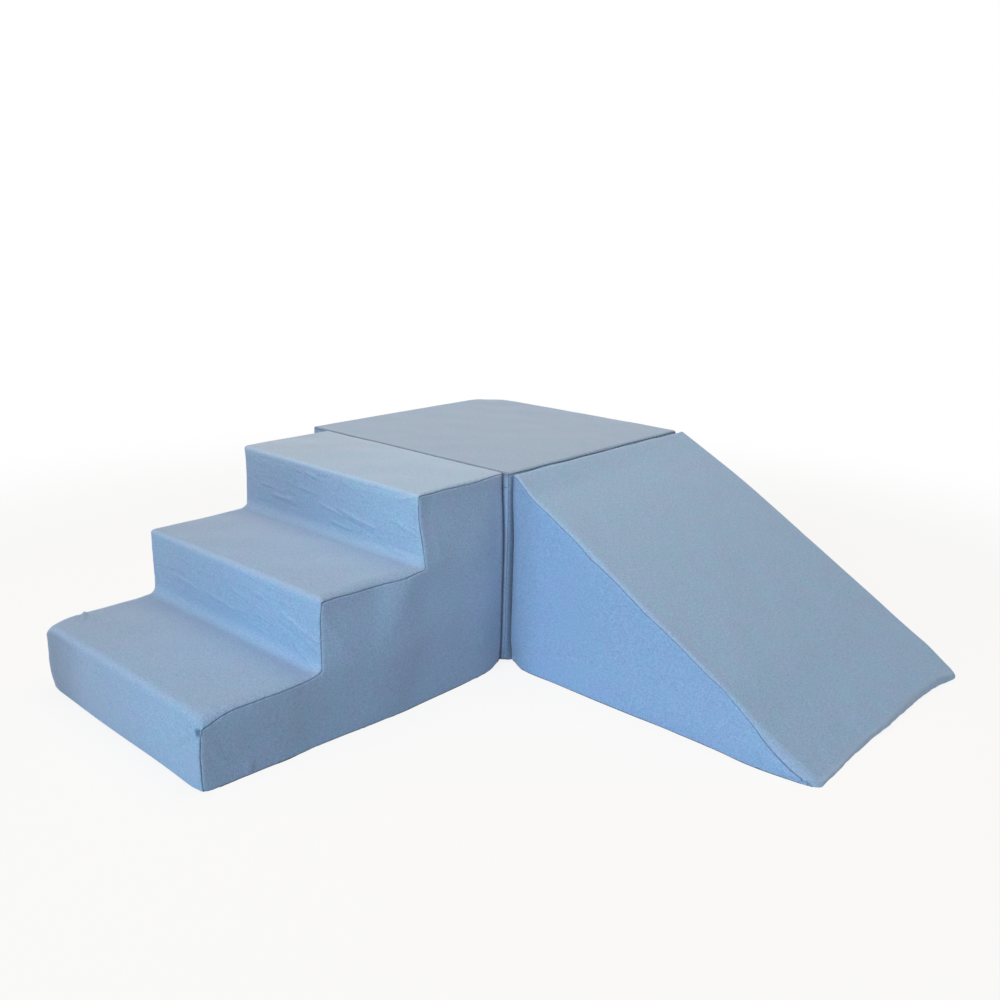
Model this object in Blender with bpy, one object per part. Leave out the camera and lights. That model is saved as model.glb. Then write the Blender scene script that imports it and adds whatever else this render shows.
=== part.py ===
"""Soft play foam climber: a block of three steps, a corner platform and a ramp.

Metres, +Z up. The origin is on the floor, at the middle of the climber's box.

Each block is drawn in its own frame: a runs out from the block's back face, down the steps or
the slope, b is up, and c is across, positive towards the near side. A block's outline is drawn
in a and b, and its cover is a ring of fabric panels swept round that outline, closed by a side
panel at each end. The ring rolls over the side edges before it meets the side panels.
"""
import math
from collections import namedtuple
from functools import lru_cache

import bmesh
import bpy
from mathutils import Vector
from mathutils.geometry import delaunay_2d_cdt

# Block sizes
PLATFORM_SIDE = 0.600
BLOCK_HEIGHT = 0.400
TREAD_DEPTH = 0.225
STEPS_WIDTH = 0.532
RAMP_LENGTH = 0.665
RAMP_WIDTH = 0.598
TOE_HEIGHT = 0.026
SLOPE_BOW = 0.010
SLOPE_BOW_SHARE = 0.20
STEP_COUNT = 3

# How far the steps and the ramp stand in from the platform's near corner
STEPS_SET_BACK = 0.009
RAMP_SET_BACK = 0.006

# Fabric, foam and the gaps between pieces
FABRIC = 0.0012
CLEARANCE = 0.0003
SEAM_GAP = 0.0003
SLAB_EASE = 0.003
CORE_ROLL_EXTRA = 0.003

# Rounding of the covered edges
NOSE_RADIUS = 0.013
INNER_RADIUS = 0.020
FLOOR_RADIUS = 0.016
RIDGE_RADIUS = 0.008
TOE_RADIUS = 0.010
BOW_RADIUS = 2.0

# Roll of the ring over the side edges, and how far past the roll the side seam lies
TREAD_ROLL = 0.010
FLOOR_ROLL = 0.007
CORNER_ROLL = 0.005
TOE_ROLL = 0.006
ROLL_OVERLAP = 0.002

# Places of the seams across the ring
FLOOR_SEAM = 0.030
BACK_SEAM = 0.030

# Crown of the panels
SIDE_CROWN = 0.0035
TOP_CROWN = 0.0030
RISER_CROWN = 0.0025
CROWN_START = 0.050

# Hook and loop strips
HOOK_THICKNESS = 0.0022
LOOP_THICKNESS = 0.0026
STRIP_WIDTH = 0.050
STRIP_LENGTH = 0.240
STRIP_INSET = 0.070
STRIP_RISE = 0.080
STRIP_EASE = 0.0006

# Zip: tapes, coil beads and travel
ZIP_INSET = 0.060
RAMP_ZIP_CLEAR = 0.150
TAPE_WIDTH = 0.013
ZIP_SLIT = 0.0010
BEAD_WIDTH = 0.0024
BEAD_HEIGHT = 0.0014
ZIP_END = 0.014

# Zip slider and its bridge
SLIDER_LENGTH = 0.0120
SLIDER_NOSE_WIDTH = 0.0098
SLIDER_TAIL_WIDTH = 0.0080
SLIDER_PLATE = 0.0013
SLIDER_POST_LENGTH = 0.0045
SLIDER_BEVEL = 0.0004
BRIDGE_WIDTH = 0.0018
BRIDGE_LEG = 0.0015
BRIDGE_BAR = 0.0010
BRIDGE_SINK = 0.0004

# Zip pull
PULL_THICKNESS = 0.0012
PULL_BAR = 0.0012
PULL_SIDE = 0.0012
PULL_LENGTH = 0.026
PULL_TIP_WIDTH = 0.0072
PULL_SWING_GAP = 0.0004
PULL_BEVEL = 0.0003

# Mesh density
GRID = 0.085
CROSS_CELLS = 6
ROLL_STEPS = 3
NOSE_STEPS = 4
BEAD_STEPS = 4
PANEL_MARGIN = 0.028
MERGE = 0.000001
MIN_TURN = 1e-9
DEPTH_DIGITS = 9
MIN_ROUND_SHARE = 0.15

# Worked out from the sizes above
STEP_RISE = BLOCK_HEIGHT / STEP_COUNT
STEPS_LENGTH = TREAD_DEPTH * STEP_COUNT
SKIN = FABRIC + CLEARANCE
JOINT_GAP = HOOK_THICKNESS + LOOP_THICKNESS + 3 * CLEARANCE

Corner = namedtuple("Corner", "a b radius steps roll_in roll_out edge")
Block = namedtuple(
    "Block", "name length width near corners treads side_crown riser_crown zip_clear"
)


def clear_scene():
    for item in list(bpy.data.objects):
        bpy.data.objects.remove(item)


def make_material(name, colour, roughness, metallic=0.0):
    material = bpy.data.materials.new(name)
    material.use_nodes = True
    shader = material.node_tree.nodes["Principled BSDF"]
    shader.inputs["Base Color"].default_value = (*colour, 1.0)
    shader.inputs["Roughness"].default_value = roughness
    shader.inputs["Metallic"].default_value = metallic
    return material


def add_object(name, mesh_build, parent, material, smooth=False):
    """Turn a bmesh into a named object under its parent, with its faces pointing out."""
    bmesh.ops.recalc_face_normals(mesh_build, faces=mesh_build.faces)
    mesh = bpy.data.meshes.new(name)
    mesh_build.to_mesh(mesh)
    mesh_build.free()
    if smooth:
        mesh.shade_smooth()
    mesh.materials.append(material)
    item = bpy.data.objects.new(name, mesh)
    bpy.context.scene.collection.objects.link(item)
    item.parent = parent
    return item


def add_empty(name, location, turn=0.0, parent=None):
    empty = bpy.data.objects.new(name, None)
    empty.location = location
    empty.rotation_euler = (0.0, 0.0, turn)
    empty.parent = parent
    bpy.context.scene.collection.objects.link(empty)
    return empty


# Outlines: corners joined by straight edges, each corner rounded by an arc

def corner(a, b, radius=0.0, steps=0, roll=TREAD_ROLL, roll_out=None, edge=1.0):
    """A corner of an outline. Edge says how much of an inset the edge after it takes."""
    return Corner(a, b, radius, steps, roll, roll if roll_out is None else roll_out, edge)


def seam_pair(a, b, along_a, along_b, roll):
    """Two corners on a straight edge, either side of a seam across the ring."""
    half = SEAM_GAP / 2
    before = corner(a - along_a * half, b - along_b * half, roll=roll)
    after = corner(a + along_a * half, b + along_b * half, roll=roll)
    return [before, after]


def inset_corners(corners, depth):
    """The corner points with every edge moved inwards by its share of depth."""
    count = len(corners)
    lines = []
    for index, here in enumerate(corners):
        there = corners[(index + 1) % count]
        direction = Vector((there.a - here.a, there.b - here.b)).normalized()
        normal = Vector((-direction.y, direction.x))
        start = Vector((here.a, here.b)) + normal * depth * here.edge
        lines.append((start, direction, normal))
    points = []
    for index in range(count):
        start, direction, normal = lines[index]
        before_start, before_direction, _ = lines[index - 1]
        cross = before_direction.cross(direction)
        if abs(cross) < MIN_TURN:
            points.append(start.copy())
            continue
        along = (start - before_start).cross(direction) / cross
        points.append(before_start + before_direction * along)
    return points


def straight_counts(corners):
    """How many cells each straight edge has, from its length and the grid."""
    counts = []
    for index, here in enumerate(corners):
        there = corners[(index + 1) % len(corners)]
        length = math.hypot(there.a - here.a, there.b - here.b)
        counts.append(max(1, round(length / GRID)))
    return counts


@lru_cache(maxsize=None)
def trace(corners, depth=0.0):
    """The outline's points at a depth below its surface, always as many and in one order."""
    points = inset_corners(corners, depth)
    counts = straight_counts(corners)
    count = len(corners)
    arcs = []
    for index, here in enumerate(corners):
        point = points[index]
        to_next = (points[(index + 1) % count] - point).normalized()
        from_last = (point - points[index - 1]).normalized()
        turn = math.atan2(from_last.cross(to_next), from_last.dot(to_next))
        if here.steps == 0:
            arcs.append([point])
            continue
        side = 1.0 if turn > 0 else -1.0
        moved = depth * min(corners[index - 1].edge, here.edge)
        radius = max(here.radius - side * moved, here.radius * MIN_ROUND_SHARE)
        run = radius * math.tan(abs(turn) / 2)
        normal = Vector((-from_last.y, from_last.x))
        centre = point - from_last * run + normal * radius * side
        arc = []
        for step in range(here.steps + 1):
            angle = turn * step / here.steps
            turned = Vector((
                normal.x * math.cos(angle) - normal.y * math.sin(angle),
                normal.x * math.sin(angle) + normal.y * math.cos(angle),
            ))
            arc.append(centre - turned * radius * side)
        arcs.append(arc)
    traced = []
    for index, arc in enumerate(arcs):
        traced.extend(arc)
        start = arc[-1]
        end = arcs[(index + 1) % count][0]
        for cell in range(1, counts[index]):
            traced.append(start.lerp(end, cell / counts[index]))
    return traced


def rolls(corners):
    """The roll radius at every traced point."""
    counts = straight_counts(corners)
    values = []
    for index, here in enumerate(corners):
        steps = here.steps
        for step in range(steps + 1):
            share = step / steps if steps else 1.0
            values.append(here.roll_in + (here.roll_out - here.roll_in) * share)
        there = corners[(index + 1) % len(corners)]
        for cell in range(1, counts[index]):
            share = cell / counts[index]
            values.append(here.roll_out + (there.roll_in - here.roll_out) * share)
    return values


def corner_starts(corners):
    """The index of each corner's first traced point."""
    counts = straight_counts(corners)
    starts = []
    total = 0
    for index, here in enumerate(corners):
        starts.append(total)
        total += here.steps + counts[index]
    return starts, total


# Crown: how far a point of a cover bulges from the flat block

def hump(share):
    return max(0.0, 4 * share * (1 - share))


def rise_share(height):
    """From 0 at the flat foot of a side panel, smoothly to 1 and back to 0 at the top."""
    share = (height - CROWN_START) / (BLOCK_HEIGHT - CROWN_START)
    return math.sin(math.pi * min(1.0, max(0.0, share))) ** 2


def crowned(block, a, b, c):
    """A point of a cover, moved out by the crown, in the block's own x, y and z."""
    across = hump(c / block.width + 1 / 2)
    tread = block.length / block.treads
    riser = BLOCK_HEIGHT / block.treads
    side = 2 * c / block.width * hump(a / block.length) * rise_share(b)
    lifted = min(1.0, max(0.0, b / CROWN_START - 1))
    up = TOP_CROWN * hump(a % tread / tread) * across * lifted
    out = block.riser_crown * hump(b % riser / riser) * across * a / block.length
    return Vector((a + out, block.near * (c + block.side_crown * side), b + up))


# Cover panels

def ring_section(block, roll, inner):
    """Points across the ring at one station: how far across, and how deep below the outline."""
    half = block.width / 2
    skin = FABRIC if inner else 0.0
    edge = [(half - skin, roll + ROLL_OVERLAP)]
    for step in range(ROLL_STEPS + 1):
        angle = math.pi / 2 * step / ROLL_STEPS
        across = half - roll + (roll - skin) * math.cos(angle)
        depth = roll - (roll - skin) * math.sin(angle)
        edge.append((across, depth))
    flat = []
    for cell in range(1, CROSS_CELLS):
        share = 1 - 2 * cell / CROSS_CELLS
        flat.append(((half - roll) * share, skin))
    mirrored = [(-across, depth) for across, depth in reversed(edge)]
    return edge + flat + mirrored


def ring_panel(name, block, first, last, parent, material):
    """One panel of the ring, swept from the first corner's end to the last corner's start."""
    corners = block.corners
    starts, total = corner_starts(corners)
    begin = starts[first] + corners[first].steps
    end = starts[last]
    if end <= begin:
        end += total
    roll_at = rolls(corners)
    rows = []
    mesh = bmesh.new()
    for station in range(begin, end + 1):
        index = station % total
        outer = ring_section(block, roll_at[index], False)
        inner = ring_section(block, roll_at[index], True)
        row = []
        for across, depth in outer + inner[::-1]:
            point = trace(corners, round(depth, DEPTH_DIGITS))[index]
            row.append(mesh.verts.new(crowned(block, point.x, point.y, across)))
        rows.append(row)
    around = len(rows[0])
    for row, next_row in zip(rows, rows[1:]):
        for index in range(around):
            after = (index + 1) % around
            mesh.faces.new((row[index], row[after], next_row[after], next_row[index]))
    half = around // 2
    for row in (rows[0], rows[-1]):
        for index in range(half - 1):
            opposite = around - 1 - index
            mesh.faces.new((row[index], row[index + 1], row[opposite - 1], row[opposite]))
    return add_object(name, mesh, parent, material, smooth=True)


def inside(point, loop):
    """Whether a point lies inside a closed loop of points."""
    found = False
    for index, here in enumerate(loop):
        last = loop[index - 1]
        if (here.y > point.y) == (last.y > point.y):
            continue
        crossing = last.x + (point.y - last.y) / (here.y - last.y) * (here.x - last.x)
        if point.x < crossing:
            found = not found
    return found


def edge_distance(point, loop):
    """How far a point is from the nearest side of a loop."""
    best = None
    for index, here in enumerate(loop):
        last = loop[index - 1]
        side = here - last
        if side.length_squared == 0:
            continue
        share = min(1.0, max(0.0, (point - last).dot(side) / side.length_squared))
        distance = (point - last - side * share).length
        best = distance if best is None else min(best, distance)
    return best


def side_loop(block):
    """The edge of a side panel: the ring's edge, less the seam's gap."""
    values = rolls(block.corners)
    loop = []
    for index, roll in enumerate(values):
        depth = round(roll + ROLL_OVERLAP + SEAM_GAP, DEPTH_DIGITS)
        loop.append(trace(block.corners, depth)[index])
    return loop


def zip_span(block):
    """Where a block's zip starts and ends along its far side, and its middle's height."""
    foot = FLOOR_ROLL + ROLL_OVERLAP
    middle = foot + SEAM_GAP + TAPE_WIDTH + ZIP_SLIT / 2
    top = foot + 2 * SEAM_GAP + 2 * TAPE_WIDTH + ZIP_SLIT
    return ZIP_INSET, block.length - block.zip_clear, middle, top


def notched(block, loop):
    """The far side panel's edge, with its foot raised over the zip."""
    start, end, _, top = zip_span(block)
    foot = FLOOR_ROLL + ROLL_OVERLAP + SEAM_GAP
    level = [point for point in loop if abs(point.y - foot) < SEAM_GAP and start < point.x < end]
    first = loop.index(level[0])
    notch = [Vector((start, foot)), Vector((start, top))]
    inner = zip_cells(start, end)
    notch += [Vector((start + (end - start) * share, top)) for share in inner]
    notch += [Vector((end, top)), Vector((end, foot))]
    kept = [point for point in loop if point not in level]
    return kept[:first] + notch + kept[first:]


def zip_cells(start, end):
    """Shares of the zip's length between its ends, one for each cell of the grid."""
    cells = max(1, round((end - start) / GRID))
    return [cell / cells for cell in range(1, cells)]


def side_panel(name, block, sign, parent, material):
    """A flat-cut side panel that fills the ring's end, with a crown."""
    loop = side_loop(block)
    if sign < 0:
        loop = notched(block, loop)
    points = list(loop)
    columns = round(block.length / GRID)
    rows = round(BLOCK_HEIGHT / GRID)
    for column in range(1, columns):
        for row in range(1, rows):
            point = Vector((block.length * column / columns, BLOCK_HEIGHT * row / rows))
            if inside(point, loop) and edge_distance(point, loop) > PANEL_MARGIN:
                points.append(point)
    ring = list(range(len(loop)))
    flat, _, triangles, _, _, _ = delaunay_2d_cdt(points, [], [ring], 1, MERGE)
    mesh = bmesh.new()
    half = block.width / 2
    outer = [mesh.verts.new(crowned(block, p.x, p.y, sign * half)) for p in flat]
    inner = [mesh.verts.new(crowned(block, p.x, p.y, sign * (half - FABRIC))) for p in flat]
    uses = {}
    for triangle in triangles:
        mesh.faces.new([outer[index] for index in triangle])
        mesh.faces.new([inner[index] for index in reversed(triangle)])
        for index, here in enumerate(triangle):
            key = frozenset((here, triangle[index - 1]))
            uses[key] = uses.get(key, 0) + 1
    for key, count in uses.items():
        if count == 1:
            here, there = key
            mesh.faces.new((outer[here], outer[there], inner[there], inner[here]))
    return add_object(name, mesh, parent, material, smooth=False)


# Foam

def foam_core(name, corners, width, parent, material):
    """A foam slab: an outline run across the block, with its open edges rounded."""
    half = width / 2 - SKIN
    roll_at = rolls(corners)
    quarter = [math.pi / 2 * step / ROLL_STEPS for step in range(ROLL_STEPS + 1)]
    mesh = bmesh.new()
    rows = []
    for side in (1, -1):
        for angle in quarter[::side]:
            row = []
            for index, roll in enumerate(roll_at):
                across = side * (half - roll + roll * math.cos(angle))
                depth = round(roll - roll * math.sin(angle), DEPTH_DIGITS)
                point = trace(corners, depth)[index]
                row.append(mesh.verts.new((point.x, across, point.y)))
            rows.append(row)
    around = len(roll_at)
    for row, next_row in zip(rows, rows[1:]):
        for index in range(around):
            after = (index + 1) % around
            mesh.faces.new((row[index], row[after], next_row[after], next_row[index]))
    mesh.faces.new(rows[0])
    mesh.faces.new(reversed(rows[-1]))
    return add_object(name, mesh, parent, material, smooth=False)


def slab_corners(length, index, open_top):
    """The outline of one flat foam slab. Edges glued to another slab take no inset."""
    is_lowest = index == 0
    low = SKIN if is_lowest else index * STEP_RISE - SKIN + CLEARANCE
    high = (index + 1) * STEP_RISE - SKIN
    low_radius = FLOOR_RADIUS if is_lowest else SLAB_EASE
    front_radius = NOSE_RADIUS if open_top else SLAB_EASE
    back_radius = NOSE_RADIUS if index == STEP_COUNT - 1 else SLAB_EASE
    foot = FLOOR_ROLL + CORE_ROLL_EXTRA
    head = TREAD_ROLL + CORE_ROLL_EXTRA
    under = 1.0 if is_lowest else 0.0
    over = 1.0 if open_top else 0.0
    return (
        corner(SKIN, low, low_radius, ROLL_STEPS, foot, edge=under),
        corner(length - SKIN, low, low_radius, ROLL_STEPS, foot, head),
        corner(length - SKIN, high, front_radius, ROLL_STEPS, head, edge=over),
        corner(SKIN, high, back_radius, ROLL_STEPS, head, foot),
    )


def wedge_corners():
    """The ramp's foam: the block's main corners, moved in by the cover's thickness."""
    main = [here for here in ramp_block().corners if here.steps > 0]
    points = inset_corners(main, SKIN)
    cores = []
    for here, point in zip(main, points):
        roll_in = here.roll_in + CORE_ROLL_EXTRA
        roll_out = here.roll_out + CORE_ROLL_EXTRA
        cores.append(corner(point.x, point.y, here.radius, ROLL_STEPS, roll_in, roll_out))
    return tuple(cores)


# Small pieces

def prism(points, low, high, axis):
    """A bmesh of an outline run along an axis. The outline's two values are the other axes."""
    mesh = bmesh.new()
    rows = []
    for level in (low, high):
        row = []
        for first, second in points:
            place = [first, second]
            place.insert(axis, level)
            row.append(mesh.verts.new(place))
        rows.append(row)
    for index in range(len(points)):
        after = (index + 1) % len(points)
        mesh.faces.new((rows[0][index], rows[0][after], rows[1][after], rows[1][index]))
    mesh.faces.new(rows[0])
    mesh.faces.new(reversed(rows[1]))
    bmesh.ops.recalc_face_normals(mesh, faces=mesh.faces)
    return mesh


def bevelled(item, width, segments=1):
    bevel = item.modifiers.new("edge", "BEVEL")
    bevel.width = width
    bevel.segments = segments
    bevel.limit_method = "ANGLE"
    return item


def combine(item, helper, operation):
    helper.hide_render = True
    helper.display_type = "WIRE"
    cut = item.modifiers.new(helper.name, "BOOLEAN")
    cut.operation = operation
    cut.object = helper
    cut.solver = "EXACT"


def strip(name, low, high, parent, material):
    """A flat strip of hook or loop tape between two corner points."""
    outline = [(low[0], low[1]), (high[0], low[1]), (high[0], high[1]), (low[0], high[1])]
    item = add_object(name, prism(outline, low[2], high[2], 2), parent, material)
    return bevelled(item, STRIP_EASE)


def zip_tape(name, block, is_upper, parent, material):
    """One zip tape with its coil's bead along the slit, flush with the side panel."""
    start, end, middle, top = zip_span(block)
    sign = 1.0 if is_upper else -1.0
    slit = ZIP_SLIT / 2
    far = slit + TAPE_WIDTH
    profile = [(far, -FABRIC), (far, 0.0)]
    for step in range(BEAD_STEPS + 1):
        angle = math.pi * step / BEAD_STEPS
        along = slit + BEAD_WIDTH / 2 + BEAD_WIDTH / 2 * math.cos(angle)
        profile.append((along, BEAD_HEIGHT * math.sin(angle)))
    profile.append((slit, -FABRIC))
    face = block.width / 2
    outline = []
    for rise, proud in profile:
        outline.append((-block.near * (face + proud), middle + sign * rise))
    item = prism(outline, start + SEAM_GAP, end - SEAM_GAP, 0)
    return add_object(name, item, parent, material, smooth=False)


def zip_slider(block, parent, material):
    """The slider: a channelled body with a post in the slit and a bridge for the pull."""
    out = -block.near
    half = SLIDER_LENGTH / 2
    nose = SLIDER_NOSE_WIDTH / 2
    tail = SLIDER_TAIL_WIDTH / 2
    shoulder = SLIDER_LENGTH / 6
    plan = [
        (-half, -tail), (shoulder, -nose), (half, -nose + BEAD_WIDTH), (half, nose - BEAD_WIDTH),
        (shoulder, nose), (-half, tail),
    ]
    base = CLEARANCE
    roof = BEAD_HEIGHT + CLEARANCE
    plate = roof + SLIDER_PLATE
    body = placed_prism(block.name + "_zip_slider", plan, base, plate, out, parent, material)
    bevelled(body, SLIDER_BEVEL)
    reach = ZIP_SLIT / 2 + BEAD_WIDTH + CLEARANCE
    post = ZIP_SLIT / 2 - CLEARANCE
    past = SLIDER_LENGTH
    channel = [
        (-past, -reach), (past, -reach), (past, -post), (half - SLIDER_POST_LENGTH, -post),
        (half - SLIDER_POST_LENGTH, post), (past, post), (past, reach), (-past, reach),
    ]
    cutter = placed_prism(block.name + "_channel", channel, -roof, roof, out, parent, material)
    combine(body, cutter, "DIFFERENCE")
    window = bridge_window()
    leg = window / 2 + BRIDGE_LEG
    crest = plate + pull_height() + bar_reach() + CLEARANCE
    sink = plate - BRIDGE_SINK
    arch = [
        (-leg, sink), (-leg, crest), (-leg + BRIDGE_BAR, crest + BRIDGE_BAR),
        (leg - BRIDGE_BAR, crest + BRIDGE_BAR), (leg, crest), (leg, sink),
        (window / 2, sink), (window / 2, crest), (-window / 2, crest), (-window / 2, sink),
    ]
    outline = [(along, out * height) for along, height in arch]
    bridge = prism(outline, -BRIDGE_WIDTH / 2, BRIDGE_WIDTH / 2, 2)
    helper = add_object(block.name + "_bridge", bridge, parent, material)
    combine(body, helper, "UNION")
    return body


def placed_prism(name, plan, low, high, out, parent, material):
    """A prism whose plan lies in the zip's plane, standing out of it from low to high."""
    mesh = prism(plan, out * low, out * high, 1)
    return add_object(name, mesh, parent, material)


def bar_reach():
    """From the pull's axis to the corner of its square bar."""
    return math.hypot(PULL_BAR, PULL_THICKNESS) / 2


def pull_height():
    """From the slider's plate to the pull's axis."""
    return bar_reach() + PULL_SWING_GAP


def bridge_window():
    """The bridge's window along the zip, in which the pull's bar turns."""
    return 2 * (bar_reach() + PULL_SWING_GAP)


def zip_pull(block, parent, material):
    """The pull tab, drawn about its bar, with a window that goes round the bridge."""
    leg = bridge_window() / 2 + BRIDGE_LEG
    crest = bar_reach() + CLEARANCE + BRIDGE_BAR
    clear = math.hypot(leg, crest) + PULL_SWING_GAP
    inner = BRIDGE_WIDTH / 2 + PULL_SWING_GAP
    root = inner + PULL_SIDE
    tip = PULL_TIP_WIDTH / 2
    neck = clear + PULL_SIDE
    plan = [
        (-PULL_BAR / 2, -root), (neck, -root), (PULL_LENGTH - tip, -tip),
        (PULL_LENGTH - PULL_SIDE, -tip + PULL_SIDE), (PULL_LENGTH, 0.0),
        (PULL_LENGTH - PULL_SIDE, tip - PULL_SIDE), (PULL_LENGTH - tip, tip),
        (neck, root), (-PULL_BAR / 2, root),
    ]
    thick = PULL_THICKNESS / 2
    tab = placed_prism(block.name + "_zip_pull", plan, -thick, thick, 1.0, parent, material)
    window = [
        (PULL_BAR / 2, -inner), (clear, -inner), (clear, inner), (PULL_BAR / 2, inner),
    ]
    cutter = placed_prism(
        block.name + "_pull_window", window, -PULL_THICKNESS, PULL_THICKNESS, 1.0, parent, material
    )
    combine(tab, cutter, "DIFFERENCE")
    return bevelled(tab, PULL_BEVEL)


# The three blocks

def steps_block():
    """Corners anticlockwise from the back floor edge, out along the floor and up the treads."""
    length = STEPS_LENGTH
    corners = [corner(0.0, 0.0, FLOOR_RADIUS, NOSE_STEPS, CORNER_ROLL, FLOOR_ROLL)]
    corners += seam_pair(FLOOR_SEAM, 0.0, 1.0, 0.0, FLOOR_ROLL)
    corners += seam_pair(length - FLOOR_SEAM, 0.0, 1.0, 0.0, FLOOR_ROLL)
    corners.append(corner(length, 0.0, FLOOR_RADIUS, NOSE_STEPS, FLOOR_ROLL, TREAD_ROLL))
    for step in range(STEP_COUNT):
        out = length - step * TREAD_DEPTH
        height = (step + 1) * STEP_RISE
        corners.append(corner(out, height, NOSE_RADIUS, NOSE_STEPS))
        if step < STEP_COUNT - 1:
            corners.append(corner(out - TREAD_DEPTH, height, INNER_RADIUS, NOSE_STEPS))
    corners.append(corner(0.0, BLOCK_HEIGHT, NOSE_RADIUS, NOSE_STEPS, TREAD_ROLL, CORNER_ROLL))
    corners += seam_pair(0.0, BLOCK_HEIGHT - BACK_SEAM, 0.0, -1.0, CORNER_ROLL)
    return Block(
        "steps", length, STEPS_WIDTH, 1, tuple(corners), STEP_COUNT, SIDE_CROWN, RISER_CROWN,
        ZIP_INSET,
    )


def platform_block():
    side = PLATFORM_SIDE
    corners = [corner(0.0, 0.0, FLOOR_RADIUS, NOSE_STEPS, CORNER_ROLL, FLOOR_ROLL)]
    corners += seam_pair(FLOOR_SEAM, 0.0, 1.0, 0.0, FLOOR_ROLL)
    corners += seam_pair(side - FLOOR_SEAM, 0.0, 1.0, 0.0, FLOOR_ROLL)
    corners.append(corner(side, 0.0, FLOOR_RADIUS, NOSE_STEPS, FLOOR_ROLL, CORNER_ROLL))
    corners += seam_pair(side, BLOCK_HEIGHT - BACK_SEAM, 0.0, 1.0, CORNER_ROLL)
    corners.append(corner(side, BLOCK_HEIGHT, NOSE_RADIUS, NOSE_STEPS, CORNER_ROLL, TREAD_ROLL))
    corners.append(corner(0.0, BLOCK_HEIGHT, NOSE_RADIUS, NOSE_STEPS, TREAD_ROLL, CORNER_ROLL))
    corners += seam_pair(0.0, BLOCK_HEIGHT - BACK_SEAM, 0.0, -1.0, CORNER_ROLL)
    return Block("platform", side, side, 1, tuple(corners), 1, 0.0, 0.0, ZIP_INSET)


def ramp_block():
    length = RAMP_LENGTH
    corners = [corner(0.0, 0.0, FLOOR_RADIUS, NOSE_STEPS, CORNER_ROLL, FLOOR_ROLL)]
    corners += seam_pair(FLOOR_SEAM, 0.0, 1.0, 0.0, FLOOR_ROLL)
    corners += seam_pair(length - FLOOR_SEAM, 0.0, 1.0, 0.0, FLOOR_ROLL)
    corners.append(corner(length, 0.0, TOE_RADIUS, NOSE_STEPS, FLOOR_ROLL, TOE_ROLL))
    corners.append(corner(length, TOE_HEIGHT, TOE_RADIUS, NOSE_STEPS, TOE_ROLL, TOE_ROLL))
    share = SLOPE_BOW_SHARE
    fall = BLOCK_HEIGHT - TOE_HEIGHT
    run = math.hypot(length, fall)
    bow_a = length * share + SLOPE_BOW * fall / run
    bow_b = BLOCK_HEIGHT - fall * share + SLOPE_BOW * length / run
    corners.append(corner(bow_a, bow_b, BOW_RADIUS, NOSE_STEPS))
    corners.append(corner(0.0, BLOCK_HEIGHT, RIDGE_RADIUS, NOSE_STEPS, TREAD_ROLL, CORNER_ROLL))
    corners += seam_pair(0.0, BLOCK_HEIGHT - BACK_SEAM, 0.0, -1.0, CORNER_ROLL)
    return Block(
        "ramp", length, RAMP_WIDTH, -1, tuple(corners), 1, SIDE_CROWN, 0.0, RAMP_ZIP_CLEAR
    )


# Putting the climber together

def layout():
    """The places of the three blocks' frames, from the platform's near corner."""
    low_x = -PLATFORM_SIDE
    high_x = JOINT_GAP + RAMP_LENGTH
    low_y = -JOINT_GAP - STEPS_LENGTH
    high_y = max(PLATFORM_SIDE, RAMP_SET_BACK + RAMP_WIDTH)
    middle = Vector(((low_x + high_x) / 2, (low_y + high_y) / 2, 0.0))
    steps = Vector((-STEPS_SET_BACK - STEPS_WIDTH / 2, -JOINT_GAP, 0.0))
    platform = Vector((-PLATFORM_SIDE / 2, PLATFORM_SIDE, 0.0))
    ramp = Vector((JOINT_GAP, RAMP_SET_BACK + RAMP_WIDTH / 2, 0.0))
    return steps - middle, platform - middle, ramp - middle


def strip_places(width):
    """How far across the two strips of a joint stand, and their heights."""
    reach = width / 2 - STRIP_INSET
    return ((reach - STRIP_WIDTH, reach), (-reach, STRIP_WIDTH - reach))


def hook_strips(block, parent, material):
    """The two hook strips on a block's back face."""
    for word, (low, high) in zip(("near", "far"), strip_places(block.width)):
        across = sorted((block.near * low, block.near * high))
        corner_low = (-CLEARANCE - HOOK_THICKNESS, across[0], STRIP_RISE)
        corner_high = (-CLEARANCE, across[1], STRIP_RISE + STRIP_LENGTH)
        strip(f"{block.name}_hook_strip_{word}", corner_low, corner_high, parent, material)


def loop_strips(parent, material):
    """The loop strips on the platform that meet the hooks of the steps and of the ramp."""
    steps_place, platform_place, ramp_place = layout()
    low_z = STRIP_RISE
    high_z = STRIP_RISE + STRIP_LENGTH
    face = PLATFORM_SIDE + CLEARANCE
    shift = steps_place.x - platform_place.x
    for word, (low, high) in zip(("near", "far"), strip_places(STEPS_WIDTH)):
        corner_low = (face, shift + low, low_z)
        corner_high = (face + LOOP_THICKNESS, shift + high, high_z)
        strip(f"platform_front_loop_strip_{word}", corner_low, corner_high, parent, material)
    face = PLATFORM_SIDE / 2 + CLEARANCE
    shift = platform_place.y - ramp_place.y
    for word, (low, high) in zip(("near", "far"), strip_places(RAMP_WIDTH)):
        corner_low = (shift + low, face, low_z)
        corner_high = (shift + high, face + LOOP_THICKNESS, high_z)
        strip(f"platform_side_loop_strip_{word}", corner_low, corner_high, parent, material)


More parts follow.
